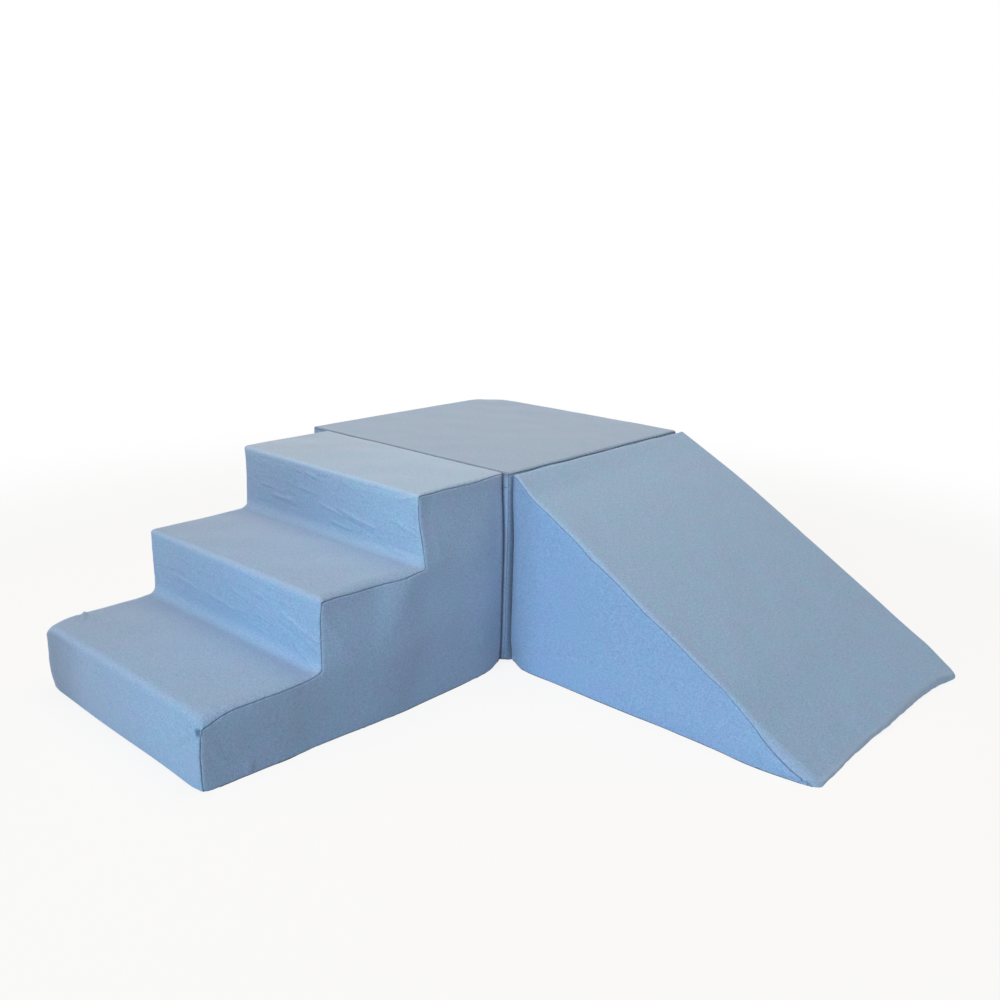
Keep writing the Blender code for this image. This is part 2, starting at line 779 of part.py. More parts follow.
def zip_parts(block, parent, materials):
    """The zip in the bottom seam of a block's far side."""
    start, _, middle, _ = zip_span(block)
    name = block.name
    zip_tape(name + "_zip_tape_upper", block, True, parent, materials["zip_tape"])
    zip_tape(name + "_zip_tape_lower", block, False, parent, materials["zip_tape"])
    face = -block.near * block.width / 2
    place = (start + ZIP_END, face, middle)
    slider = add_empty(name + "_slider_place", place, parent=parent)
    zip_slider(block, slider, materials["zip_metal"])
    proud = BEAD_HEIGHT + CLEARANCE + SLIDER_PLATE + pull_height()
    hinge = add_empty(name + "_pull_hinge", (0.0, -block.near * proud, 0.0), parent=slider)
    zip_pull(block, hinge, materials["zip_metal"])


def cover_parts(block, panels, parent, materials):
    """The ring's panels, each from one seam to the next, and the two side panels."""
    for word, first, last in panels:
        slot = "base_fabric" if word == "base" else "cover_fabric"
        ring_panel(f"{block.name}_{word}_cover", block, first, last, parent, materials[slot])
    fabric = materials["cover_fabric"]
    side_panel(block.name + "_near_side_cover", block, 1, parent, fabric)
    side_panel(block.name + "_far_side_cover", block, -1, parent, fabric)


def build():
    clear_scene()
    materials = {
        "cover_fabric": make_material("cover_fabric", (0.26, 0.39, 0.58), 0.9),
        "base_fabric": make_material("base_fabric", (0.10, 0.12, 0.15), 0.95),
        "foam": make_material("foam", (0.80, 0.78, 0.66), 0.95),
        "zip_tape": make_material("zip_tape", (0.20, 0.30, 0.46), 0.8),
        "zip_metal": make_material("zip_metal", (0.60, 0.61, 0.62), 0.35, 1.0),
        "hook": make_material("hook", (0.70, 0.72, 0.74), 0.7),
        "loop": make_material("loop", (0.78, 0.80, 0.82), 0.9),
    }
    steps_place, platform_place, ramp_place = layout()
    quarter = -math.pi / 2

    steps = steps_block()
    frame = add_empty("steps_block", steps_place, quarter)
    last = len(steps.corners) - 1
    panels = [("base", 2, 3), ("tread", 4, last - 1), ("back", last, 1)]
    cover_parts(steps, panels, frame, materials)
    for index, word in enumerate(("lower", "middle", "upper")):
        length = STEPS_LENGTH - index * TREAD_DEPTH
        slab = slab_corners(length, index, True)
        foam_core(f"steps_foam_{word}", slab, STEPS_WIDTH, frame, materials["foam"])
    hook_strips(steps, frame, materials["hook"])
    zip_parts(steps, frame, materials)

    platform = platform_block()
    frame = add_empty("platform_block", platform_place, quarter)
    panels = [("base", 2, 3), ("front", 4, 6), ("top", 7, 10), ("back", 11, 1)]
    cover_parts(platform, panels, frame, materials)
    for index, word in enumerate(("lower", "middle", "upper")):
        slab = slab_corners(PLATFORM_SIDE, index, index == STEP_COUNT - 1)
        foam_core(f"platform_foam_{word}", slab, PLATFORM_SIDE, frame, materials["foam"])
    loop_strips(frame, materials["loop"])
    zip_parts(platform, frame, materials)

    ramp = ramp_block()
    frame = add_empty("ramp_block", ramp_place)
    last = len(ramp.corners) - 1
    panels = [("base", 2, 3), ("slope", 4, last - 1), ("back", last, 1)]
    cover_parts(ramp, panels, frame, materials)
    foam_core("ramp_foam", wedge_corners(), RAMP_WIDTH, frame, materials["foam"])
    hook_strips(ramp, frame, materials["hook"])
    zip_parts(ramp, frame, materials)


build()
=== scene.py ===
import math
from collections import namedtuple

import bmesh
import bpy
import numpy as np
from mathutils import Matrix, Vector
from mathutils.geometry import delaunay_2d_cdt


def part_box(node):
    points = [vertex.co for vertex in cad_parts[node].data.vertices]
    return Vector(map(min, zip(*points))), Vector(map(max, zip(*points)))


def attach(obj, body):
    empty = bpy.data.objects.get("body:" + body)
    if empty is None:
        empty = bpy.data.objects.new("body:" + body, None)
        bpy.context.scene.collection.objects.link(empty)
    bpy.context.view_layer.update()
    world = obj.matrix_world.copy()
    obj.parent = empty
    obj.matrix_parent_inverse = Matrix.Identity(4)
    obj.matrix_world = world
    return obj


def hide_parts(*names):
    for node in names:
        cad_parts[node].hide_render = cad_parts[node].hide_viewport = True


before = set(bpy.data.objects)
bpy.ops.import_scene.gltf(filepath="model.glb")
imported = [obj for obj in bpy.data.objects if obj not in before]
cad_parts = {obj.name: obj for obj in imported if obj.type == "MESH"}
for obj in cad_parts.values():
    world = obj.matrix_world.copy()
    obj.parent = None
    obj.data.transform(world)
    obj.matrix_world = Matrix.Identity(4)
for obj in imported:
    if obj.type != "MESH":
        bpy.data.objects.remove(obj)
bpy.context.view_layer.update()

# Soft play foam climber: the looks of its covers, foam, zips and strips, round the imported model.
# Lengths are in metres. Each block is described in its own frame: a runs out from its back face,
# b is up, and c is across, positive towards the near side, which the camera sees.

Corner = namedtuple("Corner", "a b radius section middle")
Block = namedtuple("Block", "name origin out across length width height outline")
Station = namedtuple("Station", "first second share normal")
Strip = namedtuple("Strip", "across depth run shift")
Notch = namedtuple("Notch", "low_a high_a low_b high_b")
Fold = namedtuple("Fold", "start end width height")
Tuck = namedtuple("Tuck", "a_share side in_a in_c lift reach height")
Tint = namedtuple("Tint", "sides box fade colour")
Lamp = namedtuple("Lamp", "name place target size power colour")

# A section is the shape of a cover's edge beside its seam: how deep the seam lies under the
# outline and how far in from the block's side, the depth of its groove, how far in the edge starts
# to round, how soon the side panel comes level, and how far the seam hangs and is set back
Section = namedtuple(
    "Section", "strip hold groove roll side_reach drop set_back", defaults=(0.0, 0.0)
)
STRIP, HOLD, GROOVE, ROLL, SIDE_REACH, DROP, SET_BACK = range(len(Section._fields))

# Camera, as the photograph was taken
CAMERA_PLACE = (1.191, -1.372, 0.876)
CAMERA_AZIMUTH = math.radians(41.47)
CAMERA_ELEVATION = math.radians(15.83)
CAMERA_ROLL = math.radians(1.33)
CAMERA_LENS = 36.1
SENSOR_WIDTH = 36.0

# Covers
COVER_THICKNESS = 0.0012
COVER_GAP = 0.0003
SKIN = COVER_THICKNESS + COVER_GAP

# Foam slabs inside the covers
FOAM_EASE = 0.0080
TOE_EASE = 0.030
FOAM_ROUND = 0.010
FOAM_CORNER = 0.012
FOAM_GRID = 0.030
FOAM_ANGLES = (0.0, 22.5, 45.0, 67.5, 90.0)

# Underside
BASE_LIFT = 0.0008
SIDE_LIFT = 0.0012
DOT_PITCH = 0.016
DOT_MARGIN = 0.045
DOT_RADIUS = 0.0022
DOT_HEIGHT = 0.0007

# Sewing lines and zip coils
STITCH_PITCH = 0.0046
STITCH_LENGTH = 0.0034
STITCH_RADIUS = 0.00028
STITCH_INSET = 0.003
COIL_PITCH = 0.0013
COIL_WIDTH = 0.0052
COIL_RADIUS = 0.00042
COIL_PROUD = 0.0002
ROD_SIDES = 6
DOME_SEGMENTS = 8
DOME_RINGS = 4

# Seams between panels
SEAM_GAP = 0.0003
CROSS_SEAM = 0.030
CROSS_GROOVE = 0.0014
CROSS_SHOULDER = 0.0035
RING_SHOULDER = 0.0026
BLEND_SHARE = 0.30
SOFT_BLEND_SHARE = 0.42
SOFT_SEAM_DEPTH = 0.006
LEAST_SEAM_DEPTH = 0.0008
WANDER_FLOOR = 0.004
WANDER_FLOOR_RUN = 0.020

# Rounding of the outlines. A corner's radius shrinks as its seam lies deeper. A radius past
# BOWED_RADIUS is the slow bow of an edge and not a corner of the foam
NOSE_RADIUS = 0.008
STEP_NOSE_RADII = (0.016, 0.012, 0.009)
BACK_EDGE_RADIUS = 0.0035
INNER_RADIUS = 0.022
FLOOR_RADIUS = 0.006
RIDGE_RADIUS = 0.007
TOE_RADIUS = 0.016
TOE_FOOT_RADIUS = 0.004
BOW_RADIUS = 2.0
BOWED_RADIUS = 1.0
LEAST_RADIUS = 0.0015
OUTER_TIGHTEN = 2.2
INNER_TIGHTEN = 6.0
TREAD_COUNT = 3
TOE_HEIGHT = 0.026
SLOPE_BOW = 0.010
SLOPE_BOW_SHARE = 0.20

# Crown of the panels
SIDE_CROWN = 0.0035
TOP_CROWN = 0.0030
RISER_CROWN = 0.0025
CROWN_START = 0.050

# How the covers sag and pull on the foam, measured in the photograph
RISER_PINCH = 0.006
RISER_PINCH_REACH = 0.045
RISER_PINCH_NEAR_SHARE = 0.4
NOSE_DROOP = 0.008
NOSE_DROOP_REACH = 0.024
ZIP_CLEAR_HEIGHT = 0.050
ZIP_CLEAR_RUN = 0.040
STEPS_BULGE = 0.015
STEPS_BULGE_START = 0.500
STEPS_BULGE_RUN = 0.240
STEPS_BULGE_FALL = 0.150
STEPS_BULGE_BLEND_SHARE = 0.60
STEPS_BULGE_BACK_SHARE = 0.5
STEPS_BULGE_BACK_REACH = 0.050
STEPS_FRONT_DRAW = 0.008
STEPS_FRONT_START = 0.500
STEPS_FRONT_RUN = 0.150
RAMP_BULGE = 0.006
RAMP_BULGE_FALL = 0.120
RAMP_EDGE_BULGE = 0.006
RAMP_EDGE_SHARE = 0.5
TOE_SKEW = 0.0042
TOE_SKEW_START = 0.80
TOE_CURL_DROOP = 0.010
TOE_CURL_RUN = 0.055
TOE_CURL_ACROSS = 0.050
NEAR_DROOP = 0.013
NEAR_DROOP_RUN = 0.060
TOE_DROOP = 0.008
TOE_DROOP_START = 0.480
TOE_DROOP_RUN = 0.100
RAMP_FAR_SHARE = 0.3
TOE_FAR_SHARE = 0.2
RIDGE_RISE = 0.008
SOFT_CORNER_REACH = 0.040
SOFT_CORNER_SHIFT = (0.012, -0.004, 0.012)
TOE_RIPPLE_START = 0.600
TOE_RIPPLE_RUN = 0.050

# Slow swells of the cloth, which fade out beside the seams, the floor and the zips
SWELL_SHARES = {"steps": 1.0, "platform": 0.45, "ramp": 1.0}
SWELL_FADE = 0.022
SWELL_FLOOR_FADE = 0.030
NOTCH_FADE = 0.020
FOLD_FADE = 0.0035
FOLD_TAPER_SHARES = (0.15, 0.85)

# Where the cover draws in or lifts at a lower corner. Each row gives the corner's place out from
# the back and its side, how far the cover draws in along and across, its lift, and its reaches
TUCKS = {
    "steps": (
        Tuck(1, 1, -0.004, 0.001, 0.000, 0.090, 0.120),
        Tuck(1, 1, 0.004, 0.004, 0.000, 0.022, 0.020),
        Tuck(1, -1, 0.005, 0.000, 0.000, 0.140, 0.080),
        Tuck(1, -1, 0.003, 0.004, 0.000, 0.020, 0.020),
        Tuck(0, 1, 0.000, 0.004, 0.006, 0.022, 0.040),
        Tuck(0, -1, 0.003, 0.000, 0.003, 0.020, 0.020),
    ),
    "platform": (
        Tuck(1, 1, 0.004, 0.004, 0.005, 0.020, 0.030),
        Tuck(0, 1, 0.003, 0.003, 0.003, 0.020, 0.020),
        Tuck(1, -1, 0.003, 0.000, 0.003, 0.020, 0.020),
        Tuck(0, -1, 0.003, 0.000, 0.003, 0.020, 0.020),
    ),
    "ramp": (
        Tuck(0, 1, 0.000, 0.012, 0.004, 0.026, 0.050),
        Tuck(0, -1, 0.003, 0.000, 0.003, 0.020, 0.020),
        Tuck(0.84, 1, 0.000, -0.009, 0.000, 0.080, 0.070),
        Tuck(1, -1, -0.013, 0.006, 0.000, 0.060, 0.050),
        Tuck(1, -1, 0.000, 0.009, 0.000, 0.120, 0.150),
    ),
}

# Painted light and shade: where a cover is painted paler, greyer, bluer or darker than its cloth, for
# how the lamps fall on it and for the shade in its gaps and creases.
# Each row gives the panels (0 is the ring), a box in a, b and c, how the change fades out past it,
# and the change inside it
ALL = (-1.0, 1.0)
RING, NEAR_SIDE, BOTH_SIDES = (0,), (1,), (1, -1)
SHARP = (0.01, 0.01, 0.01)
BLOCK_TOP = (0.385, 0.43)
RISER_1, RISER_2, RISER_3 = (0.66, 0.70), (0.44, 0.46), (0.21, 0.24)
LEVEL_1, LEVEL_2, LEVEL_3 = (-0.02, 0.120), (0.140, 0.255), (0.275, 0.390)
PAINTED_LIGHT_TINTS = {
    "steps": (
        # Painted light and shade: the top tread and the risers' near ends lighter, the far side and
        # the risers' far ends darker
        Tint(RING, ((-0.02, 0.22), BLOCK_TOP, ALL), SHARP, (1.21, 1.15, 1.07)),
        Tint(RING, (ALL, ALL, (-0.40, -0.20)), (0.01, 0.01, 0.25), (0.99, 0.935, 0.905)),
        Tint(RING, (RISER_1, LEVEL_1, (-0.40, -0.24)), (0.01, 0.01, 0.14), (0.72, 0.71, 0.715)),
        Tint(RING, (RISER_1, LEVEL_1, (0.20, 0.40)), (0.01, 0.01, 0.20), (0.98, 1.08, 1.09)),
        Tint(RING, (RISER_1, LEVEL_1, ALL), SHARP, (0.985, 0.975, 0.955)),
        Tint(RING, (RISER_2, LEVEL_2, (0.15, 0.40)), (0.01, 0.01, 0.20), (1.03, 1.09, 1.09)),
        Tint(RING, (RISER_2, LEVEL_2, ALL), SHARP, (1.02, 1.05, 1.04)),
        Tint(RING, (RISER_3, LEVEL_3, (0.15, 0.40)), (0.01, 0.01, 0.25), (1.15, 1.20, 1.15)),
        Tint(RING, (RISER_3, LEVEL_3, (-0.40, 0.05)), (0.01, 0.01, 0.20), (0.96, 0.925, 0.90)),
        # The shade under the tuft at the first nose's near end
        Tint(
            RING, ((0.66, 0.69), (0.102, 0.112), (0.258, 0.263)), (0.004, 0.006, 0.003),
            (0.50, 0.54, 0.62),
        ),
        # Painted shade low on the sides, and painted light higher up and near the back
        Tint(BOTH_SIDES, (ALL, (-0.20, 0.06), ALL), (0.01, 0.12, 0.01), (0.93, 0.935, 0.935)),
        Tint(BOTH_SIDES, (ALL, (0.22, 0.60), ALL), (0.01, 0.16, 0.01), (1.10, 1.09, 1.09)),
        Tint(BOTH_SIDES, ((-0.20, 0.08), ALL, ALL), (0.20, 0.01, 0.01), (1.12, 1.09, 1.05)),
    ),
    "platform": (
        # Painted light: the top warmer and greyer
        Tint(RING, (ALL, BLOCK_TOP, ALL), SHARP, (0.98, 0.925, 0.87)),
        # Painted shade: the dark line in the gap beside the steps' top
        Tint(
            RING, ((0.598, 0.70), (0.3955, 0.4000), ALL), (0.002, 0.005, 0.01),
            (0.12, 0.14, 0.20),
        ),
    ),
    "ramp": (
        # Painted light: the sides bluer and the ring paler; painted shade on the near side at its
        # back, where the steps block the light
        Tint(BOTH_SIDES, (ALL, ALL, ALL), SHARP, (0.935, 1.052, 1.145)),
        Tint(NEAR_SIDE, ((-0.20, 0.02), ALL, ALL), (0.07, 0.01, 0.01), (0.90, 0.86, 0.83)),
        Tint(RING, ((0.010, 0.90), ALL, ALL), (0.02, 0.01, 0.01), (1.08, 1.10, 1.09)),
    ),
}

# Rubbed edges, lighter both from wear and as a painted highlight, and how creased the risers are, the
# lowest first
WEAR_AND_HIGHLIGHT_REACH = 0.0065
INNER_WEAR_AND_HIGHLIGHT = 0.55
INNER_WEAR_AND_HIGHLIGHT_REACH = 0.016
WEAR_AND_HIGHLIGHT_FLOOR = 0.010
RISER_CREASES = (0.35, 0.50, 0.42)
CREASED_ELSEWHERE = 0.06
CREASE_RISER_REACH = 0.012
CREASE_LEVEL_SHARE = 0.6

# Mesh density
FINE_GRID = 0.0055
RISER_GRID = 0.0027
ACROSS_GRID = 0.0044
PLAIN_GRID = 0.0065
ARC_TURN = math.radians(11.25)
ROLL_ANGLES = (0.0, 5.0, 10.0, 17.0, 26.0, 36.0, 47.0, 58.0, 69.0, 80.0, 90.0)
EDGE_RINGS = (0.0006, 0.0014, 0.0026, 0.0042, 0.0062, 0.0088)
CROSS_RINGS = (0.0005, 0.0012, 0.0022, 0.0035)
CROSS_CLEAR_SHARE = 1.6
RING_CLEAR_SHARE = 0.85
FIELD_CLEAR_SHARE = 0.6
NOTCH_CLEAR_A = 0.0020
NOTCH_CLEAR_B = 0.0015
LOOP_STEP_LEAST = 0.0004
MERGE_DISTANCE = 1e-7
POINTS_AT_ONCE = 400

# Next to nothing: against dividing by zero, and against rounding
TINY = 1e-12
ROUNDING = 1e-6

# Noise
WAVES_EACH = 9
WAVE_SPREAD = (0.75, 1.35)

# Colours, as linear values
COVER_BLUE = (0.246, 0.366, 0.562, 1.0)
COVER_COOL = (0.232, 0.379, 0.558, 1.0)
SHEEN_BLUE = (0.86, 0.90, 1.0, 1.0)
# Painted shade in the seams
SEAM_SHADE_BLUE = (0.045, 0.062, 0.105, 1.0)
# Edges lighter from wear and from a painted highlight
WEAR_AND_HIGHLIGHT_BLUE = (0.42, 0.55, 0.70, 1.0)
BASE_GREY = (0.035, 0.042, 0.055, 1.0)
FOAM_CREAM = (0.78, 0.74, 0.62, 1.0)
TAPE_BLUE = (0.10, 0.17, 0.29, 1.0)
HOOK_GREY = (0.42, 0.45, 0.50, 1.0)
LOOP_GREY = (0.55, 0.58, 0.62, 1.0)
THREAD_BLUE = (0.30, 0.42, 0.60, 1.0)
COIL_BLUE = (0.12, 0.20, 0.34, 1.0)
DOT_GREY = (0.030, 0.034, 0.042, 1.0)
NICKEL_DARK = (0.52, 0.53, 0.55, 1.0)
NICKEL_PALE = (0.66, 0.67, 0.69, 1.0)
MID_GREY = (0.5, 0.5, 0.5, 1.0)
FLOOR_GREY = (0.72, 0.72, 0.72, 1.0)
WHITE = (1.0, 1.0, 1.0, 1.0)
WOVEN_COOL_SHARE = 0.9

# Patterns, as the settings of their noise, and the spans over which they change
CLOUD_NOISE = {"Detail": 3.0, "Roughness": 0.55}
CLOUD_SPAN = (0.40, 0.60)
GRAIN_NOISE = {"Detail": 2.0, "Roughness": 0.6}
FLECK_NOISE = {"Scale": 330.0, "Detail": 2.0, "Roughness": 0.7}
PUCKER_NOISE = {"Scale": 28.0, "Detail": 2.0}
PUCKER_WOBBLE = 9.0
PUCKER_RATE = 420.0
CRINKLE_SLANT = math.radians(5.0)
CRINKLE_SIZE = (0.190, 0.050, 0.034)
CRINKLE_NOISE = {"Scale": 1.0, "Detail": 3.0, "Roughness": 0.5, "Distortion": 0.25}
CRINKLE_WIDTH = 0.055
CRINKLED_NOISE = {"Scale": 13.0, "Detail": 1.0}
CRINKLED_SPAN = (0.42, 0.56)
SCRATCH_NOISE = {"Scale": 900.0, "Detail": 4.0}
FOAM_CELLS = 900.0
FOAM_PORE_WIDTH = 0.6
FOAM_PORE_SHADE = 0.72

# How deep the cloths' and the foam's patterns stand
PILE_RELIEF = {"Strength": 0.22, "Distance": 0.0006}
PUCKER_RELIEF = {"Strength": 0.5, "Distance": 0.0012}
CRINKLE_RELIEF = {"Strength": 0.65, "Distance": 0.0026}
WEAVE_RELIEF = {"Strength": 0.5, "Distance": 0.0003}
FOAM_RELIEF = {"Strength": 0.6, "Distance": 0.0008}

# Finishes
SUEDE_GRAIN = 0.80
WOVEN_GRAIN = 0.3
# How much the edges' wear and painted highlight, and the seams' painted shade, show
WEAR_AND_HIGHLIGHT_SHARE = 0.42
SEAM_SHADE_SHARE = 0.50
SUEDE_FINISH = {
    "Roughness": 0.80, "Specular IOR Level": 0.40, "Sheen Weight": 0.80, "Sheen Roughness": 0.35,
    "Sheen Tint": SHEEN_BLUE,
}
FOAM_ROUGHNESS = 0.95
NICKEL_ROUGHNESS = (0.22, 0.42)

# Floor, light and lamps
FLOOR_SIZE = 40.0
SHADOW_REACH = 1.3
SHADOW_WHITE_SHARE = 0.86
WORLD_COLOUR = (0.97, 0.98, 1.0, 1.0)
WORLD_LEVEL = 0.30
LAMPS = (
    Lamp("key_lamp", (1.0, -6.2, 2.8), (0, 0, 0.2), 3.6, 300.0, (0.78, 0.89, 1.0)),
    Lamp("top_lamp", (-0.15, 0.10, 2.6), (-0.1, 0, 0), 2.4, 41.0, (1.0, 0.74, 0.50)),
)


# Numbers

def ease(share):
    share = np.clip(share, 0.0, 1.0)
    return share * share * (3 - 2 * share)


def mix(low, high, share):
    return low + (high - low) * share


def hump(share):
    """0 at both ends of a share, and 1 in the middle."""
    return np.maximum(0.0, 4 * share * (1 - share))


def bell(away, reach):
    return np.exp(-(away / reach) ** 2)


def unit(way):
    return way / np.linalg.norm(way)


def shoulder(share):
    """1 at a seam, falling to 0 along a quarter circle."""
    left = 1 - np.clip(share, 0.0, 1.0)
    return 1 - np.sqrt(np.maximum(0.0, 1 - left * left))


class Waves:
    """Smooth noise in space: a seeded sum of sine waves."""

    def __init__(self, seed, lengths, heights):
        source = np.random.default_rng(seed)
        directions, phases, sizes = [], [], []
        for length, height in zip(lengths, heights):
            for _ in range(WAVES_EACH):
                way = unit(source.normal(size=3))
                directions.append(way * 2 * math.pi / (length * source.uniform(*WAVE_SPREAD)))
                phases.append(source.uniform(0, 2 * math.pi))
                sizes.append(height * math.sqrt(2 / WAVES_EACH))
        self.directions = np.array(directions)
        self.phases = np.array(phases)
        self.sizes = np.array(sizes)

    def __call__(self, points):
        total = np.zeros(len(points))
        for way, phase, size in zip(self.directions, self.phases, self.sizes):
            total += size * np.sin(points @ way + phase)
        return total


FABRIC_SWELL = Waves(11, (0.30, 0.13, 0.055), (0.0006, 0.00038, 0.00012))
SEAM_WANDER = Waves(23, (0.12, 0.045), (0.0008, 0.0004))
FLOOR_WANDER = Waves(31, (0.22, 0.09), (0.0008, 0.0004))
TOE_RIPPLE = Waves(47, (0.16, 0.06, 0.022), (0.0018, 0.0009, 0.0003))


# Outlines

class Outline:
    """A closed outline of straight edges and rounded corners, read at any depth below it."""

    def __init__(self, corners, grid, upright_grid=None):
        self.corners = corners
        self.places = np.array([(here.a, here.b) for here in corners])
        ways = np.roll(self.places, -1, axis=0) - self.places
        self.runs = np.linalg.norm(ways, axis=1)
        ways /= self.runs[:, None]
        normals = np.stack([-ways[:, 1], ways[:, 0]], axis=1)
        before = np.roll(normals, 1, axis=0)
        dots = (before * normals).sum(axis=1)
        crosses = before[:, 0] * normals[:, 1] - before[:, 1] * normals[:, 0]
        self.mitres = (before + normals) / (1 + dots)[:, None]
        self.convex = crosses >= -TINY
        self.radii = np.array([here.radius for here in corners])
        stations, sections = [], []
        self.marks = {}
        for index, here in enumerate(corners):
            after = (index + 1) % len(corners)
            there = corners[after]
            start = math.atan2(before[index][1], before[index][0])
            turn = math.atan2(crosses[index], dots[index])
            cuts = max(abs(turn) / ARC_TURN, abs(turn) * here.radius / grid)
            steps = math.ceil(cuts - ROUNDING) if here.radius else 0
            self.marks[index] = (len(stations), len(stations) + steps)
            for step in range(steps + 1):
                angle = start + turn * (step / steps if steps else 1.0)
                normal = (math.cos(angle), math.sin(angle))
                stations.append(Station(index, index, 0.0, normal))
                sections.append(here.section)
            is_upright = upright_grid and here.a > 0 and math.isclose(here.a, there.a)
            for share in self.cells(index, here, there, upright_grid if is_upright else grid):
                stations.append(Station(index, after, share, tuple(normals[index])))
                sections.append(section_between(here, there, share))
        self.first = np.array([station.first for station in stations])
        self.second = np.array([station.second for station in stations])
        self.share = np.array([station.share for station in stations])
        self.normals = np.array([station.normal for station in stations])
        self.sections = np.array(sections)
        self.count = len(stations)
        self.points = self.at(np.zeros(self.count))
        steps = np.linalg.norm(np.roll(self.points, -1, axis=0) - self.points, axis=1)
        self.along = np.concatenate([[0.0], np.cumsum(steps)[:-1]])
        self.length = steps.sum()

    def cells(self, index, here, there, grid):
        """Shares of an edge at which it is cut, closer together beside a seam across the ring."""
        run = self.runs[index]
        count = max(1, round(run / grid))
        shares = {cell / count for cell in range(1, count)}
        margin = CROSS_CLEAR_SHARE * CROSS_RINGS[-1] / run
        for is_seam, flip in ((here.radius == 0, False), (there.radius == 0, True)):
            if is_seam:
                shares = {x for x in shares if (1 - x if flip else x) > margin}
                extra = {ring / run for ring in CROSS_RINGS}
                shares |= {1 - x if flip else x for x in extra}
        return sorted(shares)

    def corner_point(self, which, depth):
        """The outline's points, each rounded about the given corner at its own depth."""
        radius = self.radii[which]
        convex = self.convex[which]
        tighten = np.where(convex, OUTER_TIGHTEN, INNER_TIGHTEN)
        shrunk = np.maximum(radius - tighten * depth, np.minimum(LEAST_RADIUS, radius))
        away = np.where(convex, depth + shrunk, -shrunk)
        reach = np.where(convex, -shrunk, shrunk + depth)
        middle = self.places[which] + self.mitres[which] * away[:, None]
        return middle + self.normals * reach[:, None]

    def at(self, depth):
        """The outline's points, each at its own depth."""
        low = self.corner_point(self.first, depth)
        high = self.corner_point(self.second, depth)
        return low + (high - low) * self.share[:, None]

    def from_mark(self, index):
        """How far each station is along the outline from a corner, the short way round."""
        away = np.abs(self.along - self.along[self.marks[index][0]])
        return np.minimum(away, self.length - away)

    def seams(self):
        """The corners at which a seam crosses the ring."""
        return [index for index, here in enumerate(self.corners) if here.radius == 0]


def section_between(here, there, share):
    """An edge's section, part of the way from one corner to the next."""
    is_soft = max(here.section.strip, there.section.strip) > SOFT_SEAM_DEPTH
    blend = ease(min(share, 1 - share) / (SOFT_BLEND_SHARE if is_soft else BLEND_SHARE))
    ends = [mix(x, y, share) for x, y in zip(here.section, there.section)]
    return Section(*[mix(x, y, blend) for x, y in zip(ends, here.middle)])


def seam_shift(sections, share):
    """How far the seam's drop and set-back move each station, part of the way to the seam."""
    return -share * sections[:, (SET_BACK, DROP)]


def corner(a, b, radius, section, middle=None):
    """A corner of an outline. The middle is the section halfway along the edge after it."""
    return Corner(a, b, radius, section, middle or section)


# How the ring's edge is made: at noses, inner corners, treads, risers, under the block and behind
NOSE = Section(0.0050, 0.0005, 0.0022, 0.015, 0.0050, 0.0045)
FIRST_NOSE = Section(0.0050, 0.0005, 0.0022, 0.024, 0.0050, 0.0140)
TOP_NOSE = Section(0.0040, 0.0005, 0.0022, 0.008, 0.0050, 0.0010)
INNER = Section(0.0036, 0.0008, 0.0022, 0.026, 0.0040)
FIRST_TREAD = Section(0.0085, 0.0003, 0.0020, 0.018, 0.0035)
TREAD = Section(0.0105, 0.0003, 0.0020, 0.018, 0.0035)
TOP_TREAD = Section(0.0045, 0.0003, 0.0020, 0.006, 0.0040)
RISER = Section(0.0032, 0.0012, 0.0022, 0.006, 0.0080)
FRONT_FOOT = Section(0.0032, 0.0012, 0.0018, 0.007, 0.0080)
FLOOR = Section(0.0008, 0.0006, 0.0012, 0.006, 0.0050)
BACK = Section(0.0034, 0.0006, 0.0020, 0.006, 0.0050)
RAMP_BACK = Section(0.0034, 0.0060, 0.0020, 0.012, 0.0240)
SLOPE = Section(0.0060, 0.0004, 0.0018, 0.009, 0.0045)
RIDGE = Section(0.0045, 0.0005, 0.0020, 0.007, 0.0045)
TOE_SEAM = Section(0.0010, 0.0006, 0.0014, 0.008, 0.0050, 0.0, 0.0090)
TOE_FOOT = Section(0.0016, 0.0008, 0.0018, 0.012, 0.0060, 0.0, 0.0180)
TOE = Section(0.0060, 0.0008, 0.0020, 0.022, 0.0060, 0.0070, 0.0220)
NOSE_EDGES = ((FIRST_NOSE, FIRST_TREAD), (NOSE, TREAD), (TOP_NOSE, TOP_TREAD))


def steps_corners(length, height):
    """From the back floor edge, out along the floor, up the risers and treads, and down behind."""
    tread = length / TREAD_COUNT
    rise = height / TREAD_COUNT
    corners = [
        corner(0.0, 0.0, FLOOR_RADIUS, FLOOR),
        corner(CROSS_SEAM, 0.0, 0.0, FLOOR),
        corner(length - CROSS_SEAM, 0.0, 0.0, FLOOR),
        corner(length, 0.0, FLOOR_RADIUS, FRONT_FOOT, RISER),
    ]
    for step in range(TREAD_COUNT):
        out = length - step * tread
        top = (step + 1) * rise
        is_top = step == TREAD_COUNT - 1
        nose, tread_edge = NOSE_EDGES[step]
        corners.append(corner(out, top, STEP_NOSE_RADII[step], nose, tread_edge))
        if not is_top:
            corners.append(corner(out - tread, top, INNER_RADIUS, INNER, RISER))
    corners.append(corner(0.0, height, BACK_EDGE_RADIUS, BACK))
    corners.append(corner(0.0, height - CROSS_SEAM, 0.0, BACK))
    return corners


def platform_corners(length, height):
    return [
        corner(0.0, 0.0, FLOOR_RADIUS, FLOOR),
        corner(CROSS_SEAM, 0.0, 0.0, FLOOR),
        corner(length - CROSS_SEAM, 0.0, 0.0, FLOOR),
        corner(length, 0.0, FLOOR_RADIUS, FRONT_FOOT, BACK),
        corner(length, height - CROSS_SEAM, 0.0, BACK),
        corner(length, height, BACK_EDGE_RADIUS, TOP_NOSE, TOP_TREAD),
        corner(0.0, height, NOSE_RADIUS, TOP_NOSE, BACK),
        corner(0.0, height - CROSS_SEAM, 0.0, BACK),
    ]


